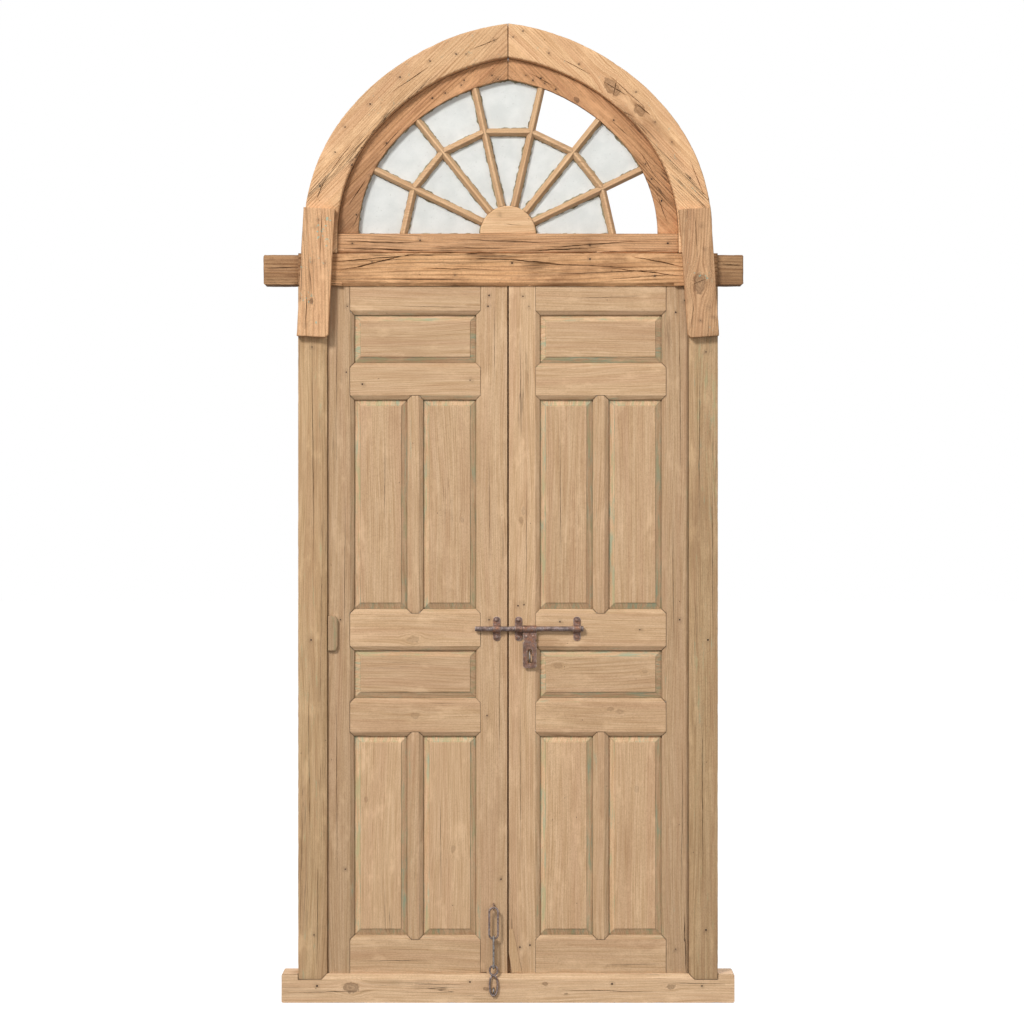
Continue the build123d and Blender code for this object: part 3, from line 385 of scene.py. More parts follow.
def carve(bm, split, start, end, width, depth):
    """Opens a drying crack in the front between two points (x, z)."""
    a = Vector((start[0], 0, start[1]))
    along = Vector((end[0], 0, end[1])) - a
    length = along.length
    along.normalize()
    side = Vector((-along.z, 0, along.x))

    def near(face):
        c = face.calc_center_median() - a
        return face.normal.y < -0.8 and -0.02 < c.dot(along) < length + 0.02 and abs(c.dot(side)) < 0.02

    zone = [f for f in bm.faces if near(f)]
    for k in range(1, int(length / CRACK_STEP)):
        zone = bisect(bm, zone, a + along * (k * CRACK_STEP), along)
    for offset in (-width / 2, 0, width / 2):
        zone = bisect(bm, zone, a + side * offset, side)
    seed = a * 31
    for v in {v for f in zone for v in f.verts}:
        s = (v.co - a).dot(along)
        t = (v.co - a).dot(side)
        if not 0 < s < length or abs(t) > width / 2 + 1e-5:
            continue
        rough = noise.noise(along * s * 60 + seed)
        open_here = min(1, 3.2 * min(s, length - s) / length) * (0.75 + 0.5 * rough)
        drift = 0.8 * width * noise.noise(along * s * 22 + seed) * min(1, 8 * min(s, length - s) / length)
        if abs(t) < 1e-5:
            v.co.y += depth * open_here
            v[split] = max(v[split], 0.95 * min(1, open_here))
        else:
            v.co -= side * t * (1 - min(1, open_here))
            v[split] = max(v[split], 0.1)
        v.co += side * drift


def worn(node, material, slot, along, steps, ease=0.0011, dent=0.0005, chip=0.0012, tone=1.0, paint=0.0,
         bevel_paint=0.0, bevel_tone=1.0, step_tone=1.0, fresh=0.0, sides=False, cracks=(), nails=(), knot_spots=(), knot=1.0,
         shade=None, shape=None, ring=0.0, ring_tone=0.8, ring_paint=0.9, arris=0.0, facing=0.0):
    """A packed wooden node with rounded and chipped edges, dirt and painted shade along its seams, painted shade and
    highlight on its slopes, steps and rings, its grain along the given direction.
    """
    source = frame["nodes"][node]
    rng = random.Random(node)
    bm = bmesh.new()
    bm.from_mesh(source.data)
    bmesh.ops.remove_doubles(bm, verts=bm.verts, dist=4e-6)
    bmesh.ops.dissolve_limit(bm, angle_limit=math.radians(0.5), verts=bm.verts, edges=bm.edges)
    sloped = bm.faces.layers.int.new("sloped")
    for f in bm.faces:
        f[sloped] = int(-0.995 < f.normal.y < -0.6)
    sharp = [e for e in bm.edges if len(e.link_faces) == 2 and e.calc_face_angle(0) > math.radians(20)]
    rim = bm.faces.layers.int.new("rim")
    made = bmesh.ops.bevel(
        bm, geom=sharp, offset=ease, offset_type="OFFSET", segments=2, profile=0.55, affect="EDGES", clamp_overlap=True
    )
    for f in made["faces"]:
        f[rim] = 1
        f[sloped] = 0
    ringed = bm.faces.layers.int.new("ringed")
    bm.normal_update()
    # Inset rings make thin lines that carry painted shade, and on flat fronts a painted highlight.
    if ring:
        fronts = [f for f in bm.faces if f[sloped] or (arris and f.normal.y < -0.6 and not f[rim])]
        inset = bmesh.ops.inset_individual(bm, faces=fronts, thickness=ring, use_even_offset=True)
        for f in inset["faces"]:
            f[ringed] = 1 if f.normal.y > -0.995 else 2
    bm.normal_update()
    for e in bm.edges:
        if len(e.link_faces) == 2 and not any(f[rim] for f in e.link_faces):
            e.smooth = e.calc_face_angle(0) < math.radians(9)
    cut_grid(bm, steps)
    dirt = bm.verts.layers.float.new("dirt")
    split = bm.verts.layers.float.new("split")
    for v in bm.verts:
        # Rim vertices near another piece are darkened: dirt with painted shade in the seam.
        if any(f[rim] for f in v.link_faces):
            v[dirt] = seam_dirt(node, v.co)
    bm.normal_update()
    for x0, z0, x1, z1, width, depth in cracks:
        carve(bm, split, spot(x0, z0), spot(x1, z1), width / 1000, depth / 1000)
    bm.normal_update()
    grain = bm.verts.layers.float_vector.new("grain")
    trait = bm.verts.layers.float_vector.new("trait")
    cover = bm.loops.layers.float.new("paint")
    a = Vector(along).normalized()
    b = Vector((-a.z, 0, a.x))
    offset = Vector((rng.uniform(1, 30), rng.uniform(1, 30), rng.uniform(1, 30)))
    seed = Vector((rng.uniform(0, 90), rng.uniform(0, 90), rng.uniform(0, 90)))
    holes = [Vector((*spot(px, py), 0)) for px, py in nails]
    moved = {}
    for v in bm.verts:
        p = v.co
        v[grain] = Vector((p.dot(a), p.dot(b), p.y)) + offset
        edge = any(f[rim] for f in v.link_faces)
        push = dent * (0.5 + 0.5 * noise.noise(p * 9 + seed)) + 0.4 * dent * noise.noise(p * 45 + seed)
        if not edge and abs(v.normal.y) < 0.5:
            push = push if sides and seam_dirt(node, p) == 0 else 0
        if edge:
            nick = noise.noise(p * 30 + seed) + 0.6 * noise.noise(p * 95 + seed)
            push += chip * max(0.0, nick - 0.15)
        moved[v] = p - v.normal * max(0.0, push)
        stained = 0
        if v.normal.y < -0.5:
            for hole in holes:
                away = math.hypot(p.x - hole.x, p.z - hole.y)
                stained = max(stained, 0.45 * (1 - away / 0.011))
        if shape:
            moved[v] = shape(moved[v])
        here = tone * (1 + 0.03 * noise.noise(p * 2.3 + seed)) * (shade(p) if shade else 1)
        v[trait] = Vector((max(0, stained), here, fresh))
    for v, p in moved.items():
        v.co = p
    bm.normal_update()
    for e in bm.edges:
        if len(e.link_faces) == 2 and e.calc_face_angle(0) > math.radians(38):
            e.smooth = False
    # Painted light and shade per face: sloped bevels darker, step faces darker, rings at slope edges darker, rings on
    # flat fronts lighter on panels and darker on bars, slopes turned up and to the left lighter.
    slope = bm.loops.layers.float.new("slope")
    # Per corner: dark in the carved cracks, and dirt with painted shade along the seams where pieces meet.
    seam = bm.loops.layers.float.new("seam")
    for f in bm.faces:
        step = not f[sloped] and not f[rim] and abs(f.normal.y) < 0.6
        level = (1, ring_tone, arris)[f[ringed]] if f[ringed] else bevel_tone if f[sloped] else step_tone if step else 1
        if f[sloped] and facing:
            level += facing * (f.normal.z - f.normal.x)
        for loop in f.loops:
            loop[cover] = ring_paint if f[ringed] == 1 else bevel_paint if f[sloped] else paint
            loop[slope] = level
            loop[seam] = max(loop.vert[split], loop.vert[dirt] if f[rim] else 0)
    mesh = bpy.data.meshes.new(node + "_worn")
    bm.to_mesh(mesh)
    bm.free()
    for p in mesh.polygons:
        p.use_smooth = True
    piece = bpy.data.objects.new(node + "_worn", mesh)
    bpy.context.scene.collection.objects.link(piece)
    for px, py, radius in knot_spots:
        x, z = spot(px, py)
        place = Vector((x, 0, z))
        knots.setdefault(material, []).append((place.dot(a) + offset.x, place.dot(b) + offset.y, radius / 1000, knot))
    piece["look"] = material
    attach(piece, body_of[node])
    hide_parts(node)
    return piece


UP = (0, 0, 1)
LEVEL = (1, 0, 0)
RISING = (1, 0, 1.0)
FALLING = (1, 0, -1.0)
wooden = []


def lining_shade(p, low):
    """Scales the lining's brightness from the given low value below 2.5 m to 1.32 above 2.8 m."""
    return low + (1.32 - low) * min(1, max(0, (p.z - 2.5) / 0.3))


def timber(node, *args, **kwargs):
    wooden.append(worn(node, *args, **kwargs))


timber("sill", "sill_wood", "frame_wood", LEVEL, (0.014, 0.012, 0.010), sides=True, ease=0.002, chip=0.003, dent=0.0012, tone=1.25,
       knot_spots=[(351, 988, 13), (486, 989, 5), (671, 987, 8), (566, 994, 3), (545, 984, 5)],
       cracks=[(285, 993, 372, 991, 2.2, 6), (410, 985, 470, 984, 1.6, 5), (560, 990, 655, 992, 2.0, 6), (660, 983, 730, 984, 2.0, 6)],
       nails=[(317, 986), (702, 986), (470, 982), (612, 984)])
timber("left_post", "post_wood", "frame_wood", UP, (0.010, 0.012, 0.014), ease=0.0016, chip=0.002, tone=1.15, paint=0.35,
       cracks=[(312, 350, 314, 560, 2.0, 6), (322, 560, 320, 700, 1.6, 5), (308, 690, 310, 850, 1.6, 5), (318, 860, 317, 965, 2.2, 7)],
       nails=[(312, 347), (311, 640), (314, 935)])
timber("right_post", "post_wood", "frame_wood", UP, (0.010, 0.012, 0.014), ease=0.0016, chip=0.002, tone=1.02, paint=0.35,
       cracks=[(700, 360, 699, 520, 1.8, 5), (712, 470, 713, 640, 1.6, 5), (702, 700, 703, 880, 2.0, 6), (689, 290, 689.5, 345, 4.0, 9)],
       nails=[(706, 352), (708, 640), (706, 930)])
timber("transom_beam", "beam_wood", "arch_wood", LEVEL, (0.012, 0.012, 0.009), sides=True, ease=0.0025, chip=0.004, dent=0.0016, tone=1.26,
       shade=lambda p: 1 if abs(p.x) < 0.66 else 0.63 if p.x < 0 else 0.55,
       cracks=[(338, 271, 424, 252, 4.5, 12), (334, 262, 404, 256, 3.4, 9), (500, 259, 560, 264, 4.0, 11), (610, 268, 684, 276, 3.6, 10), (420, 268, 505, 270, 2.4, 8), (505, 262, 640, 268, 2.6, 8),
               (560, 274, 660, 270, 2.0, 7), (630, 256, 684, 267, 3.0, 9), (600, 280, 680, 274, 1.8, 6), (266, 268, 298, 267, 2, 6),
               (722, 264, 742, 265, 2, 6), (360, 279, 470, 280, 1.6, 6)],
       nails=[(372, 262), (512, 263), (590, 259), (655, 276), (455, 275)])
timber("fan_rail", "rail_wood", "arch_wood", LEVEL, (0.010, 0.011, 0.008), tone=1.18, ease=0.0016, chip=0.0026, dent=0.0012,
       cracks=[(341, 248, 430, 250, 4.5, 12), (345, 241, 420, 243, 3.0, 9), (520, 251, 600, 247, 4.2, 11), (455, 239, 560, 243, 2.6, 8), (535, 248, 640, 241, 3.2, 9),
               (560, 252, 680, 250, 2.2, 8), (430, 246, 520, 249, 1.8, 6)],
       nails=[(352, 243), (420, 240), (590, 245), (668, 243)])
timber("left_arch", "arch_wood", "arch_wood", RISING, (0.011, 0.012, 0.011), sides=True,
       shade=lambda p: 1.10 - 0.15 * min(1, max(0, (p.z - 2.7) / 0.2)), ease=0.002, chip=0.003, dent=0.0016,
       cracks=[(330, 172, 352, 143, 2.0, 6), (392, 92, 430, 66, 1.8, 6), (470, 50, 500, 38, 1.6, 5), (316, 200, 326, 178, 2.0, 6)],
       nails=[(494, 40), (466, 54), (400, 77), (345, 127), (370, 104), (335, 152), (320, 186), (456, 54), (430, 61), (352, 165)])
timber("right_arch", "arch_wood", "arch_wood", FALLING, (0.011, 0.012, 0.011), sides=True, ease=0.002, chip=0.003, dent=0.0016,
       knot_spots=[(612, 87, 17), (640, 110, 13)], knot=0.95, shade=lambda p: 1.20 - 0.14 * min(1, max(0, (p.z - 2.7) / 0.2)),
       cracks=[(604, 82, 628, 96, 2.2, 6), (613, 97, 617, 79, 1.8, 5), (634, 102, 652, 116, 2.2, 6), (600, 100, 636, 118, 2.6, 7), (610, 76, 650, 112, 1.8, 6), (560, 58, 590, 74, 1.4, 5), (690, 160, 704, 195, 1.8, 6)],
       nails=[(513, 37), (523, 31), (549, 53), (579, 64), (636, 92), (655, 122), (672, 142), (690, 178)])
timber("left_lining", "lining_wood", "arch_wood", RISING, (0.009, 0.010, 0.009), shade=lambda p: lining_shade(p, 0.82), ease=0.0014, chip=0.002, dent=0.001,
       cracks=[(348, 205, 366, 178, 2.4, 7), (372, 168, 398, 140, 2.0, 7), (352, 228, 362, 205, 1.8, 6), (405, 128, 436, 108, 2.0, 6),
               (380, 150, 402, 126, 1.6, 5)],
       nails=[(464, 79), (492, 74), (478, 86), (461, 84), (432, 97), (386, 142), (370, 175), (356, 214), (445, 92), (498, 78)])
timber("right_lining", "lining_wood", "arch_wood", FALLING, (0.009, 0.010, 0.009), shade=lambda p: lining_shade(p, 1.38), ease=0.0014, chip=0.002, dent=0.001,
       knot_spots=[(577, 99, 6)],
       cracks=[(530, 72, 556, 86, 2.0, 6), (640, 150, 656, 176, 1.8, 6), (656, 190, 668, 222, 2.4, 7), (610, 118, 632, 138, 1.6, 5)],
       nails=[(526, 74), (541, 77), (545, 82), (556, 88), (577, 100), (614, 119), (646, 163), (662, 200), (652, 178), (533, 79)])
timber("left_board", "board_wood", "arch_wood", (-0.054, 0, 1), (0.010, 0.010, 0.011), sides=True, ease=0.0014, chip=0.002, dent=0.001, tone=1.17, paint=0.2,
       knot_spots=[(312, 302, 5)],
       cracks=[(323, 210, 320, 262, 1.8, 6), (308, 290, 306, 328, 1.6, 5)],
       nails=[(319, 221), (315, 228), (312, 262), (326, 264), (311, 302), (301, 299), (306, 326)])
timber("right_board", "board_wood", "arch_wood", (0.068, 0, 1), (0.010, 0.010, 0.011), sides=True, ease=0.0014, chip=0.002, dent=0.001, tone=0.98, paint=0.15,
       knot_spots=[(699, 283, 18)], knot=0.95,
       cracks=[(691, 286, 706, 279, 1.8, 5), (712, 214, 714, 262, 2.2, 7), (694, 214, 697, 258, 1.6, 5), (690, 330, 694, 300, 1.4, 5)],
       nails=[(701, 227), (704, 250), (712, 318), (700, 321), (708, 309)])
timber("fan_hub", "bar_wood", "arch_wood", LEVEL, (0.008, 0.010, 0.008), ease=0.0014, chip=0.0012, tone=1.05,
       cracks=[(505, 223, 521, 225, 1.6, 4)], nails=[(500, 214)])
# The glazing bars' slopes and rings carry painted shade, and their slopes turned up and to the left a painted
# highlight.
for k in range(1, 7):
    turn = math.pi * k / 7
    timber(f"radial_bar_{k}", "bar_wood", "arch_wood", (math.cos(turn), 0, math.sin(turn)), (0.009, 0, 0.009),
           ease=0.0005, chip=0.0005, dent=0.0002, tone=1.05, bevel_tone=0.76, facing=0.09,
           ring=0.0013, ring_tone=0.68, ring_paint=0, arris=0.86)
timber("ring_bars", "bar_wood", "arch_wood", LEVEL, (0.009, 0, 0.009), ease=0.0005, chip=0.0005, dent=0.0002, tone=1.05,
       bevel_tone=0.76, facing=0.09, ring=0.0013, ring_tone=0.68, ring_paint=0, arris=0.86)

LEAF_CRACKS = {
    "left_hanging_stile": [(337, 300, 336, 420, 1.6, 5), (345, 500, 344, 640, 1.4, 4), (336, 700, 337, 880, 1.6, 5)],
    "right_hanging_stile": [(680, 310, 681, 470, 1.6, 5), (673, 520, 674, 640, 1.4, 4), (683, 760, 682, 900, 1.8, 5),
                            (684.5, 914, 686, 972, 5, 10)],
    "left_meeting_stile": [(494, 300, 495, 380, 1.4, 4), (489, 460, 490, 560, 1.4, 4), (500, 640, 499, 760, 1.4, 4), (479, 973, 487, 973, 5, 9)],
    "right_meeting_stile": [(520, 330, 521, 430, 1.4, 4), (527, 480, 526, 600, 1.4, 4), (520, 700, 521, 860, 1.4, 4)],
    "left_bottom_rail": [(360, 962, 430, 961, 1.6, 5)],
    "right_bottom_rail": [(600, 966, 660, 965, 1.4, 4)],
    "left_top_rail": [(400, 306, 470, 307, 1.4, 4)],
    "right_top_rail": [(575, 298, 640, 296, 1.4, 4)],
    "left_lower_panels": [(440, 800, 441, 900, 1.2, 3)],
    "right_upper_panels": [(560, 430, 561, 560, 1.2, 3)],
    "left_upper_panels": [(385, 440, 384, 520, 1.2, 3)],
}
LEAF_NAILS = {
    "left_hanging_stile": [(347, 306), (346, 372), (340, 620), (345, 870)],
    "left_meeting_stile": [(489, 295), (488, 306), (489, 620), (487, 716), (501, 880)],
    "right_meeting_stile": [(523, 296), (529, 306), (518, 606), (524, 605), (517, 630), (520, 948), (530, 946)],
    "right_hanging_stile": [(685, 300), (676, 312), (680, 620), (676, 950)],
    "left_frieze_rail": [(362, 384), (470, 380)],
    "right_lock_rail": [(560, 622), (640, 630)],
}
LEAF_KNOTS = {
    "left_upper_panels": [(462, 520, 5)],
    "left_lower_panels": [(453, 850, 7), (366, 800, 5)],
    "right_lower_panels": [(637, 790, 6)],
    "right_middle_panel": [(558, 666, 8), (645, 672, 5)],
    "left_lock_rail": [(413, 640, 10)],
    "left_middle_rail": [(415, 716, 8)],
    "right_middle_rail": [(620, 712, 7)],
    "right_meeting_stile": [(521, 520, 6)],
}
PANELS = ("top_panel", "upper_panels", "middle_panel", "lower_panels")
UPRIGHT = ("hanging_stile", "meeting_stile", "upper_muntin", "lower_muntin", "upper_panels", "lower_panels")
LEAF_TONE = {"hanging_stile": 0.90, "meeting_stile": 1.01, "lower_panels": 1.07, "upper_panels": 0.97, "top_rail": 0.99,
             "frieze_rail": 1.01, "lock_rail": 1.07, "middle_rail": 1.06, "bottom_rail": 1.02, "middle_panel": 0.98,
             "top_panel": 0.98}
ROWS = ("hanging_stile", "meeting_stile", "top_rail", "frieze_rail", "lock_rail", "middle_rail", "bottom_rail",
        "upper_muntin", "lower_muntin", *PANELS)
# Leaf bevels, steps and rings carry painted shade, and the panel fields' edges carry a painted highlight.
for side in ("left", "right"):
    for row in ROWS:
        node = f"{side}_{row}"
        upright = row in UPRIGHT
        panel = row in PANELS
        steps = (0.0085, 0, 0.013) if upright else (0.013, 0, 0.0085)
        rng = random.Random("tone " + node)
        timber(node, "leaf_wood", "leaf_wood", UP if upright else LEVEL, steps,
               ease=0.0005 if panel else 0.0010, chip=0.0006 if panel else 0.0010, dent=0.0004,
               tone=rng.uniform(0.99, 1.015) * LEAF_TONE.get(row, 1) * (1.09 if node == "right_meeting_stile" else 1.02 if side == "right" else 1), knot=0.45,
               paint=0.2 if row in ("bottom_rail", "hanging_stile") else 0.08,
               bevel_paint=0.7 if panel else 0.35, bevel_tone=0.98 if panel else 0.92, step_tone=0.76 if panel else 0.9,
               ring=0.0015 if panel else 0.0011, ring_tone=0.78 if panel else 0.84, ring_paint=0.9 if panel else 0.45,
               arris=1.07 if panel else 0, facing=0.45 if panel else 0.10, cracks=LEAF_CRACKS.get(node, ()), nails=LEAF_NAILS.get(node, ()),
               knot_spots=LEAF_KNOTS.get(node, ()))
timber("stop_block", "leaf_wood", "leaf_wood", UP, (0.006, 0.006, 0.008), ease=0.0015, chip=0.001, tone=0.74, paint=0.5, bevel_paint=0.5)
timber("repair_patch", "leaf_wood", "leaf_wood", UP, (0.006, 0, 0.008), ease=0.0006, fresh=0.2)

LOOKS = {
    "leaf_wood": dict(light=srgb(220, 186, 148), mid=srgb(198, 162, 122), dark=srgb(148, 110, 76), ring=0.0065, checks=0.25, stain=0.25,
                      figure=0.25),
    "post_wood": dict(light=srgb(204, 172, 132), mid=srgb(180, 146, 106), dark=srgb(126, 96, 66), ring=0.006, checks=0.5, stain=0.3,
                      figure=0.3),
    "sill_wood": dict(light=srgb(220, 188, 152), mid=srgb(198, 164, 126), dark=srgb(142, 106, 74), ring=0.009, checks=0.6, stain=0.3,
                      figure=0.25),
    "beam_wood": dict(light=srgb(218, 172, 126), mid=srgb(194, 146, 100), dark=srgb(104, 66, 38), ring=0.010, checks=1.0, stain=0.75,
                      figure=0.65, relief=1.0),
    "rail_wood": dict(light=srgb(212, 166, 124), mid=srgb(184, 138, 96), dark=srgb(92, 60, 36), ring=0.010, checks=1.0, stain=0.75,
                      figure=0.6, relief=1.0),
    "arch_wood": dict(light=srgb(238, 196, 150), mid=srgb(216, 170, 124), dark=srgb(140, 94, 56), ring=0.008, checks=0.8, stain=0.6,
                      figure=0.42, flecks=0.25, relief=0.8),
    "lining_wood": dict(light=srgb(198, 150, 108), mid=srgb(168, 122, 82), dark=srgb(100, 66, 42), ring=0.009, checks=0.8, stain=0.5,
                        figure=0.4),
    "board_wood": dict(light=srgb(224, 180, 136), mid=srgb(200, 154, 112), dark=srgb(116, 76, 46), ring=0.009, checks=0.8, stain=0.6,
                       figure=0.45, flecks=0.8, relief=0.9),
    "bar_wood": dict(light=srgb(232, 194, 152), mid=srgb(212, 170, 126), dark=srgb(156, 116, 78), ring=0.006, checks=0.2, stain=0.25,
                     figure=0.25),
}
made = {name: wood(name, **look) for name, look in LOOKS.items()}
for piece in wooden:
    piece.data.materials.clear()
    piece.data.materials.append(made[piece["look"]])
    del piece["look"]


# Ironwork

rusty = iron("rusty_iron", srgb(164, 134, 122), srgb(186, 130, 98), srgb(240, 226, 214), 0.85)
brown = iron("brown_iron", srgb(176, 156, 150), srgb(160, 124, 108), srgb(244, 234, 228), 0.9)
polished = iron("worn_iron", srgb(176, 170, 166), srgb(150, 122, 102), srgb(236, 234, 230), 0.95)


def ball(bm, place, radius, flat=1.0):
    """Adds a nail head or rivet, flattened towards the wood."""
    made = bmesh.ops.create_uvsphere(bm, u_segments=20, v_segments=12, radius=radius)
    for v in made["verts"]:
        v.co.y *= flat
        v.co += Vector(place)


def forged(node, material, heads=(), voxel=0.0009, rough=0.0003, name=None, mesh=None):
    """A packed iron node as one hammered skin, with its nail heads and rivets."""
    bm = bmesh.new()
    bm.from_mesh(mesh or frame["nodes"][node].data)
    bmesh.ops.remove_doubles(bm, verts=bm.verts, dist=4e-6)
    for place, radius, flat in heads:
        ball(bm, place, radius, flat)
    raw = bpy.data.meshes.new("raw")
    bm.to_mesh(raw)
    bm.free()
    piece = bpy.data.objects.new(name or node + "_forged", raw)
    bpy.context.scene.collection.objects.link(piece)
    skin = piece.modifiers.new("skin", "REMESH")
    skin.mode = "VOXEL"
    skin.voxel_size = voxel
    bpy.context.view_layer.update()
    solid = bpy.data.meshes.new_from_object(piece.evaluated_get(bpy.context.evaluated_depsgraph_get()))
    piece.modifiers.clear()
    piece.data = solid
    bpy.data.meshes.remove(raw)
    normals = [v.normal.copy() for v in solid.vertices]
    for v, n in zip(solid.vertices, normals):
        pit = noise.noise(v.co * 260) * 0.6 + noise.noise(v.co * 90) * 0.7
        v.co -= n * rough * (0.6 + pit)
    for p in solid.polygons:
        p.use_smooth = True
    solid.materials.clear()
    solid.materials.append(material)
    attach(piece, body_of[node])
    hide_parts(node)
    return piece


def tube(points, radius, sides=12):
    """A closed round wire through these points."""
    bm = bmesh.new()
    count = len(points)
    rings = []
    for i, p in enumerate(points):
        ahead = (points[(i + 1) % count] - points[i - 1]).normalized()
        u = ahead.cross(Vector((0, 1, 0))).normalized()
        w = ahead.cross(u)
        ring = []
        for s in range(sides):
            turn = 2 * math.pi * s / sides
            ring.append(bm.verts.new(p + radius * (math.cos(turn) * u + math.sin(turn) * w)))
        rings.append(ring)
    for i in range(count):
        for s in range(sides):
            t = (s + 1) % sides
            j = (i + 1) % count
            bm.faces.new((rings[i][s], rings[i][t], rings[j][t], rings[j][s]))
    bmesh.ops.recalc_face_normals(bm, faces=bm.faces)
    mesh = bpy.data.meshes.new("wire")
    bm.to_mesh(mesh)
    bm.free()
    return mesh


KEEPER_FACE = LEAF_FRONT - 0.003
for node, x in (("left_keeper", -0.036), ("middle_keeper", 0.034), ("end_keeper", 0.221)):
    heads = [((x, KEEPER_FACE, BOLT_Z + 0.0275), 0.0062, 0.62), ((x, KEEPER_FACE, BOLT_Z - 0.0275), 0.0056, 0.45)]
    forged(node, rusty, heads, voxel=0.0008)
forged("bolt_rod", brown, voxel=0.0010, rough=0.0002)
plate = BOLT_Y - 0.00175
rivets = [((0.0695 + dx, plate, BOLT_Z - 0.024), 0.0036, 0.45) for dx in (-0.011, 0.011)]
forged("hasp", rusty, rivets, voxel=0.0009, rough=0.0006)
forged("hasp_staple", polished, voxel=0.0006, rough=0.0002)
forged("chain_staple", rusty, voxel=0.0006, rough=0.0002)
forged("sill_staple", polished, voxel=0.0006, rough=0.0002)
forged("top_link", brown, voxel=0.0008, rough=0.0003)
forged("middle_link", polished, voxel=0.0008, rough=0.0003)


def figure_eight():
    """The end link's wire: a short loop over a long one, crossed at the waist."""
    low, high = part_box("end_link")
    wire = 0.0035
    waist = high.z - 0.036 + wire
    half = (high.x - low.x) / 2 - wire
    count = 44
    turns = [math.radians(32) + (2 * math.pi - math.radians(64)) * i / (count - 1) for i in range(count)]
    points = []
    for top, way in ((low.z + wire, 1), (high.z - wire, -1)):
        middle = (waist + top) / 2
        reach = (waist - top) / 2
        for turn in turns:
            swing = math.sin(turn) * (1 if abs(math.cos(turn)) < 0.5 else 1.06)
            x = CHAIN_X + half * max(-1, min(1, swing))
            z = middle + reach * math.cos(turn)
            y = CHAIN_Y + 0.0030 * way * (1 if turn > math.pi else -1) * math.exp(-((z - waist) / 0.008) ** 2)
            points.append(Vector((x, y, z)))
    return tube(points, wire)


forged("end_link", brown, voxel=0.0008, rough=0.0003, mesh=figure_eight())

# Nail heads in the wood

NAILED = {
    "frame": [
        (FRONT, [(494, 40), (466, 54), (400, 77), (345, 127), (370, 104), (335, 152), (320, 186), (456, 54), (430, 61),
                 (352, 165), (513, 37), (523, 31), (549, 53), (579, 64), (636, 92), (655, 122), (672, 142), (690, 178),
                 (372, 262), (512, 263), (590, 259), (655, 276), (455, 275), (312, 347), (311, 640), (314, 935), (706, 352),
                 (708, 640), (706, 930), (317, 986), (702, 986), (470, 982), (612, 984)]),
        (FRONT + 0.025, [(464, 79), (492, 74), (478, 86), (461, 84), (432, 97), (386, 142), (370, 175), (356, 214), (445, 92),
                         (498, 78), (526, 74), (541, 77), (545, 82), (556, 88), (614, 119), (646, 163), (662, 200),
                         (652, 178), (533, 79)]),
        (FRONT + 0.010, [(352, 243), (420, 240), (590, 245), (668, 243)]),
        (FRONT - 0.0288, [(319, 221), (315, 228), (312, 262), (326, 264), (301, 299), (306, 326), (701, 227), (704, 250),
                         (712, 318), (700, 321), (708, 309)]),
    ],
    "left_leaf": [(LEAF_FRONT, [(347, 306), (346, 372), (340, 620), (345, 870), (489, 295), (488, 306), (489, 620), (487, 716),
                                (501, 880), (362, 384), (470, 380)])],
    "right_leaf": [(LEAF_FRONT, [(523, 296), (529, 306), (518, 606), (524, 605), (517, 630), (520, 948), (530, 946), (685, 300),
                                 (676, 312), (680, 620), (676, 950), (560, 622), (640, 630)])],
}
nail_iron = iron("nail_iron", srgb(62, 48, 42), srgb(84, 56, 42), srgb(120, 104, 96), 0.3)
for body, groups in NAILED.items():
    rng = random.Random("nails " + body)
    bm = bmesh.new()
    for y, spots in groups:
        for px, py in spots:
            x, z = spot(px, py)
            ball(bm, (x, y + 0.0004, z), rng.uniform(0.0017, 0.0031), 0.42)
    mesh = bpy.data.meshes.new(body + "_nails")
    bm.to_mesh(mesh)
    bm.free()
    for p in mesh.polygons:
        p.use_smooth = True
    mesh.materials.append(nail_iron)
    heads = bpy.data.objects.new(body + "_nails", mesh)
    bpy.context.scene.collection.objects.link(heads)
    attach(heads, body)


# Glass and its putty

pane_look = glass()
putty_look = putty()


def pane_loops(node):
    """The outline of each pane's front face, in order."""
    bm = bmesh.new()
    bm.from_mesh(frame["nodes"][node].data)
    bmesh.ops.remove_doubles(bm, verts=bm.verts, dist=4e-6)
    bmesh.ops.dissolve_limit(bm, angle_limit=math.radians(0.5), verts=bm.verts, edges=bm.edges)
    bm.normal_update()
    loops = [[v.co.copy() for v in f.verts] for f in bm.faces if f.normal.y < -0.9]
    bm.free()
    return loops


PUTTY_STEP = 0.004
PUTTY_LAP = 0.0055
PUTTY_T = 0.0022


def resample(loop, step):
    points = []
    for i, p in enumerate(loop):
        q = loop[(i + 1) % len(loop)]
        count = max(1, round((q - p).length / step))
        points += [p.lerp(q, k / count) for k in range(count)]
    return points


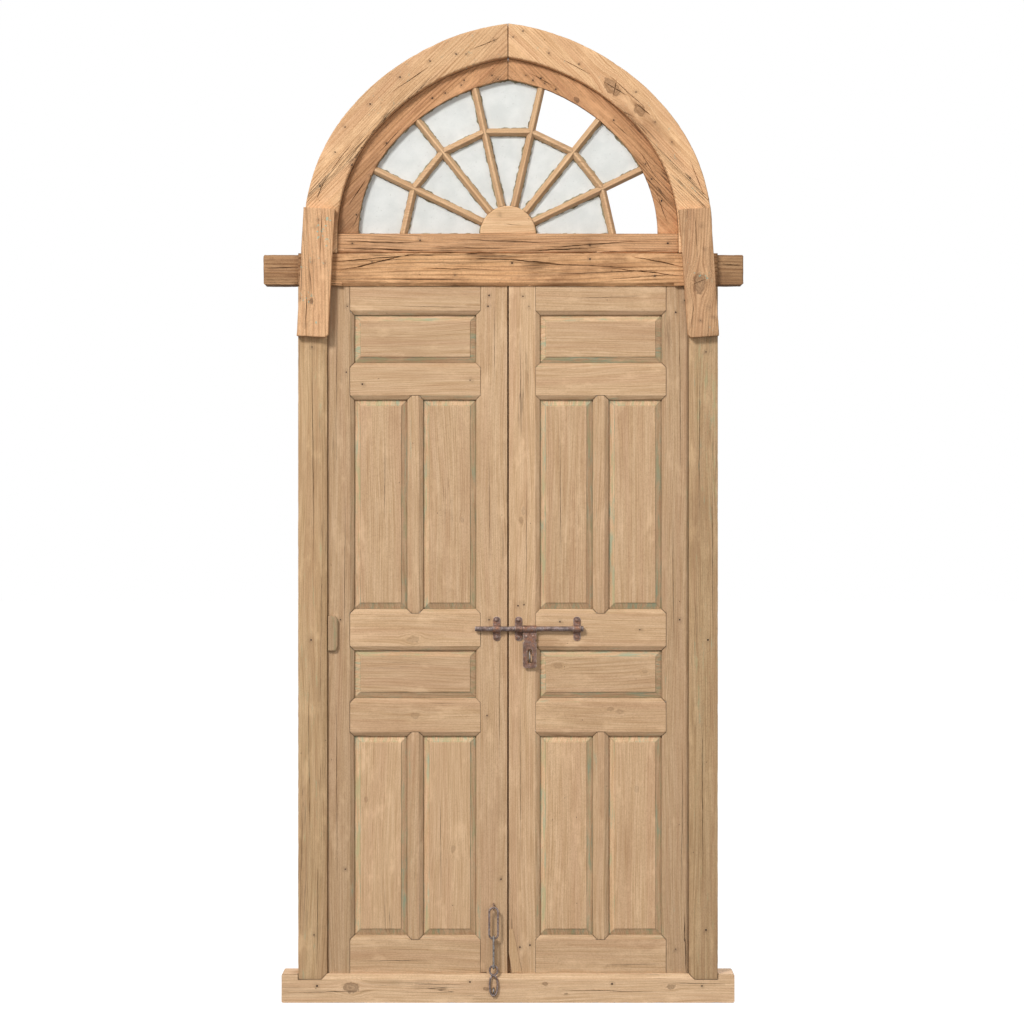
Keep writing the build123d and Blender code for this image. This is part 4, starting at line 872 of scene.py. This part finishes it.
def putty_bead(bm, loop, seed):
    """A ragged bead of old putty round a pane, from under its bars out over the glass."""
    points = resample(loop, PUTTY_STEP)
    count = len(points)
    middle = sum(points, Vector()) / count
    rows = []
    for i, p in enumerate(points):
        ahead = (points[(i + 2) % count] - points[i - 2]).normalized()
        inward = Vector((-ahead.z, 0, ahead.x))
        if inward.dot(middle - p) < 0:
            inward = -inward
        ragged = 0.5 + 0.9 * noise.noise(p * 55 + seed) + 0.5 * noise.noise(p * 190 + seed)
        width = PUTTY_LAP + 0.0052 * max(0.25, ragged)
        top = PUTTY_T * (0.75 + 0.35 * noise.noise(p * 120 + seed))
        root = p + inward * (PUTTY_LAP - 0.004)
        tip = p + inward * width
        rise = Vector((0, -1, 0))
        rows.append([bm.verts.new(c) for c in (root, root + rise * top, tip.lerp(root, 0.35) + rise * top, tip + rise * 0.0004, tip)])
    for i in range(count):
        j = (i + 1) % count
        for s in range(5):
            t = (s + 1) % 5
            bm.faces.new((rows[i][s], rows[i][t], rows[j][t], rows[j][s]))


bead = bmesh.new()
for n, node in enumerate(("inner_panes", "outer_panes")):
    frame["nodes"][node].data.materials.clear()
    frame["nodes"][node].data.materials.append(pane_look)
    for i, loop in enumerate(pane_loops(node)):
        putty_bead(bead, loop, Vector((n * 17 + i * 3.1, 0, 0)))
bmesh.ops.recalc_face_normals(bead, faces=bead.faces)
mesh = bpy.data.meshes.new("putty_beads")
bead.to_mesh(mesh)
bead.free()
for p in mesh.polygons:
    p.use_smooth = True
mesh.materials.append(putty_look)
beads = bpy.data.objects.new("putty_beads", mesh)
bpy.context.scene.collection.objects.link(beads)
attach(beads, "frame")


# Floor

floor_mesh = bpy.data.meshes.new("floor")
floor_mesh.from_pydata([(-30, -14, 0), (30, -14, 0), (30, 40, 0), (-30, 40, 0)], [], [(0, 1, 2, 3)])
floor = bpy.data.objects.new("floor", floor_mesh)
bpy.context.scene.collection.objects.link(floor)
pale = Graph("pale_floor")
path = pale.node("ShaderNodeLightPath", {})
matt = pale.tree.nodes.new("ShaderNodeBsdfDiffuse")
matt.inputs["Color"].default_value = (0.25, 0.25, 0.25, 1)
glow = pale.tree.nodes.new("ShaderNodeEmission")
glow.inputs["Strength"].default_value = 0.9
added = pale.tree.nodes.new("ShaderNodeAddShader")
pale.tree.links.new(matt.outputs[0], added.inputs[0])
pale.tree.links.new(glow.outputs[0], added.inputs[1])
either = pale.tree.nodes.new("ShaderNodeMixShader")
pale.tree.links.new(path.node.outputs["Is Camera Ray"], either.inputs[0])
pale.tree.links.new(matt.outputs[0], either.inputs[1])
pale.tree.links.new(added.outputs[0], either.inputs[2])
surface = pale.tree.nodes.new("ShaderNodeOutputMaterial")
pale.tree.links.new(either.outputs[0], surface.inputs[0])
floor_mesh.materials.append(pale.mat)
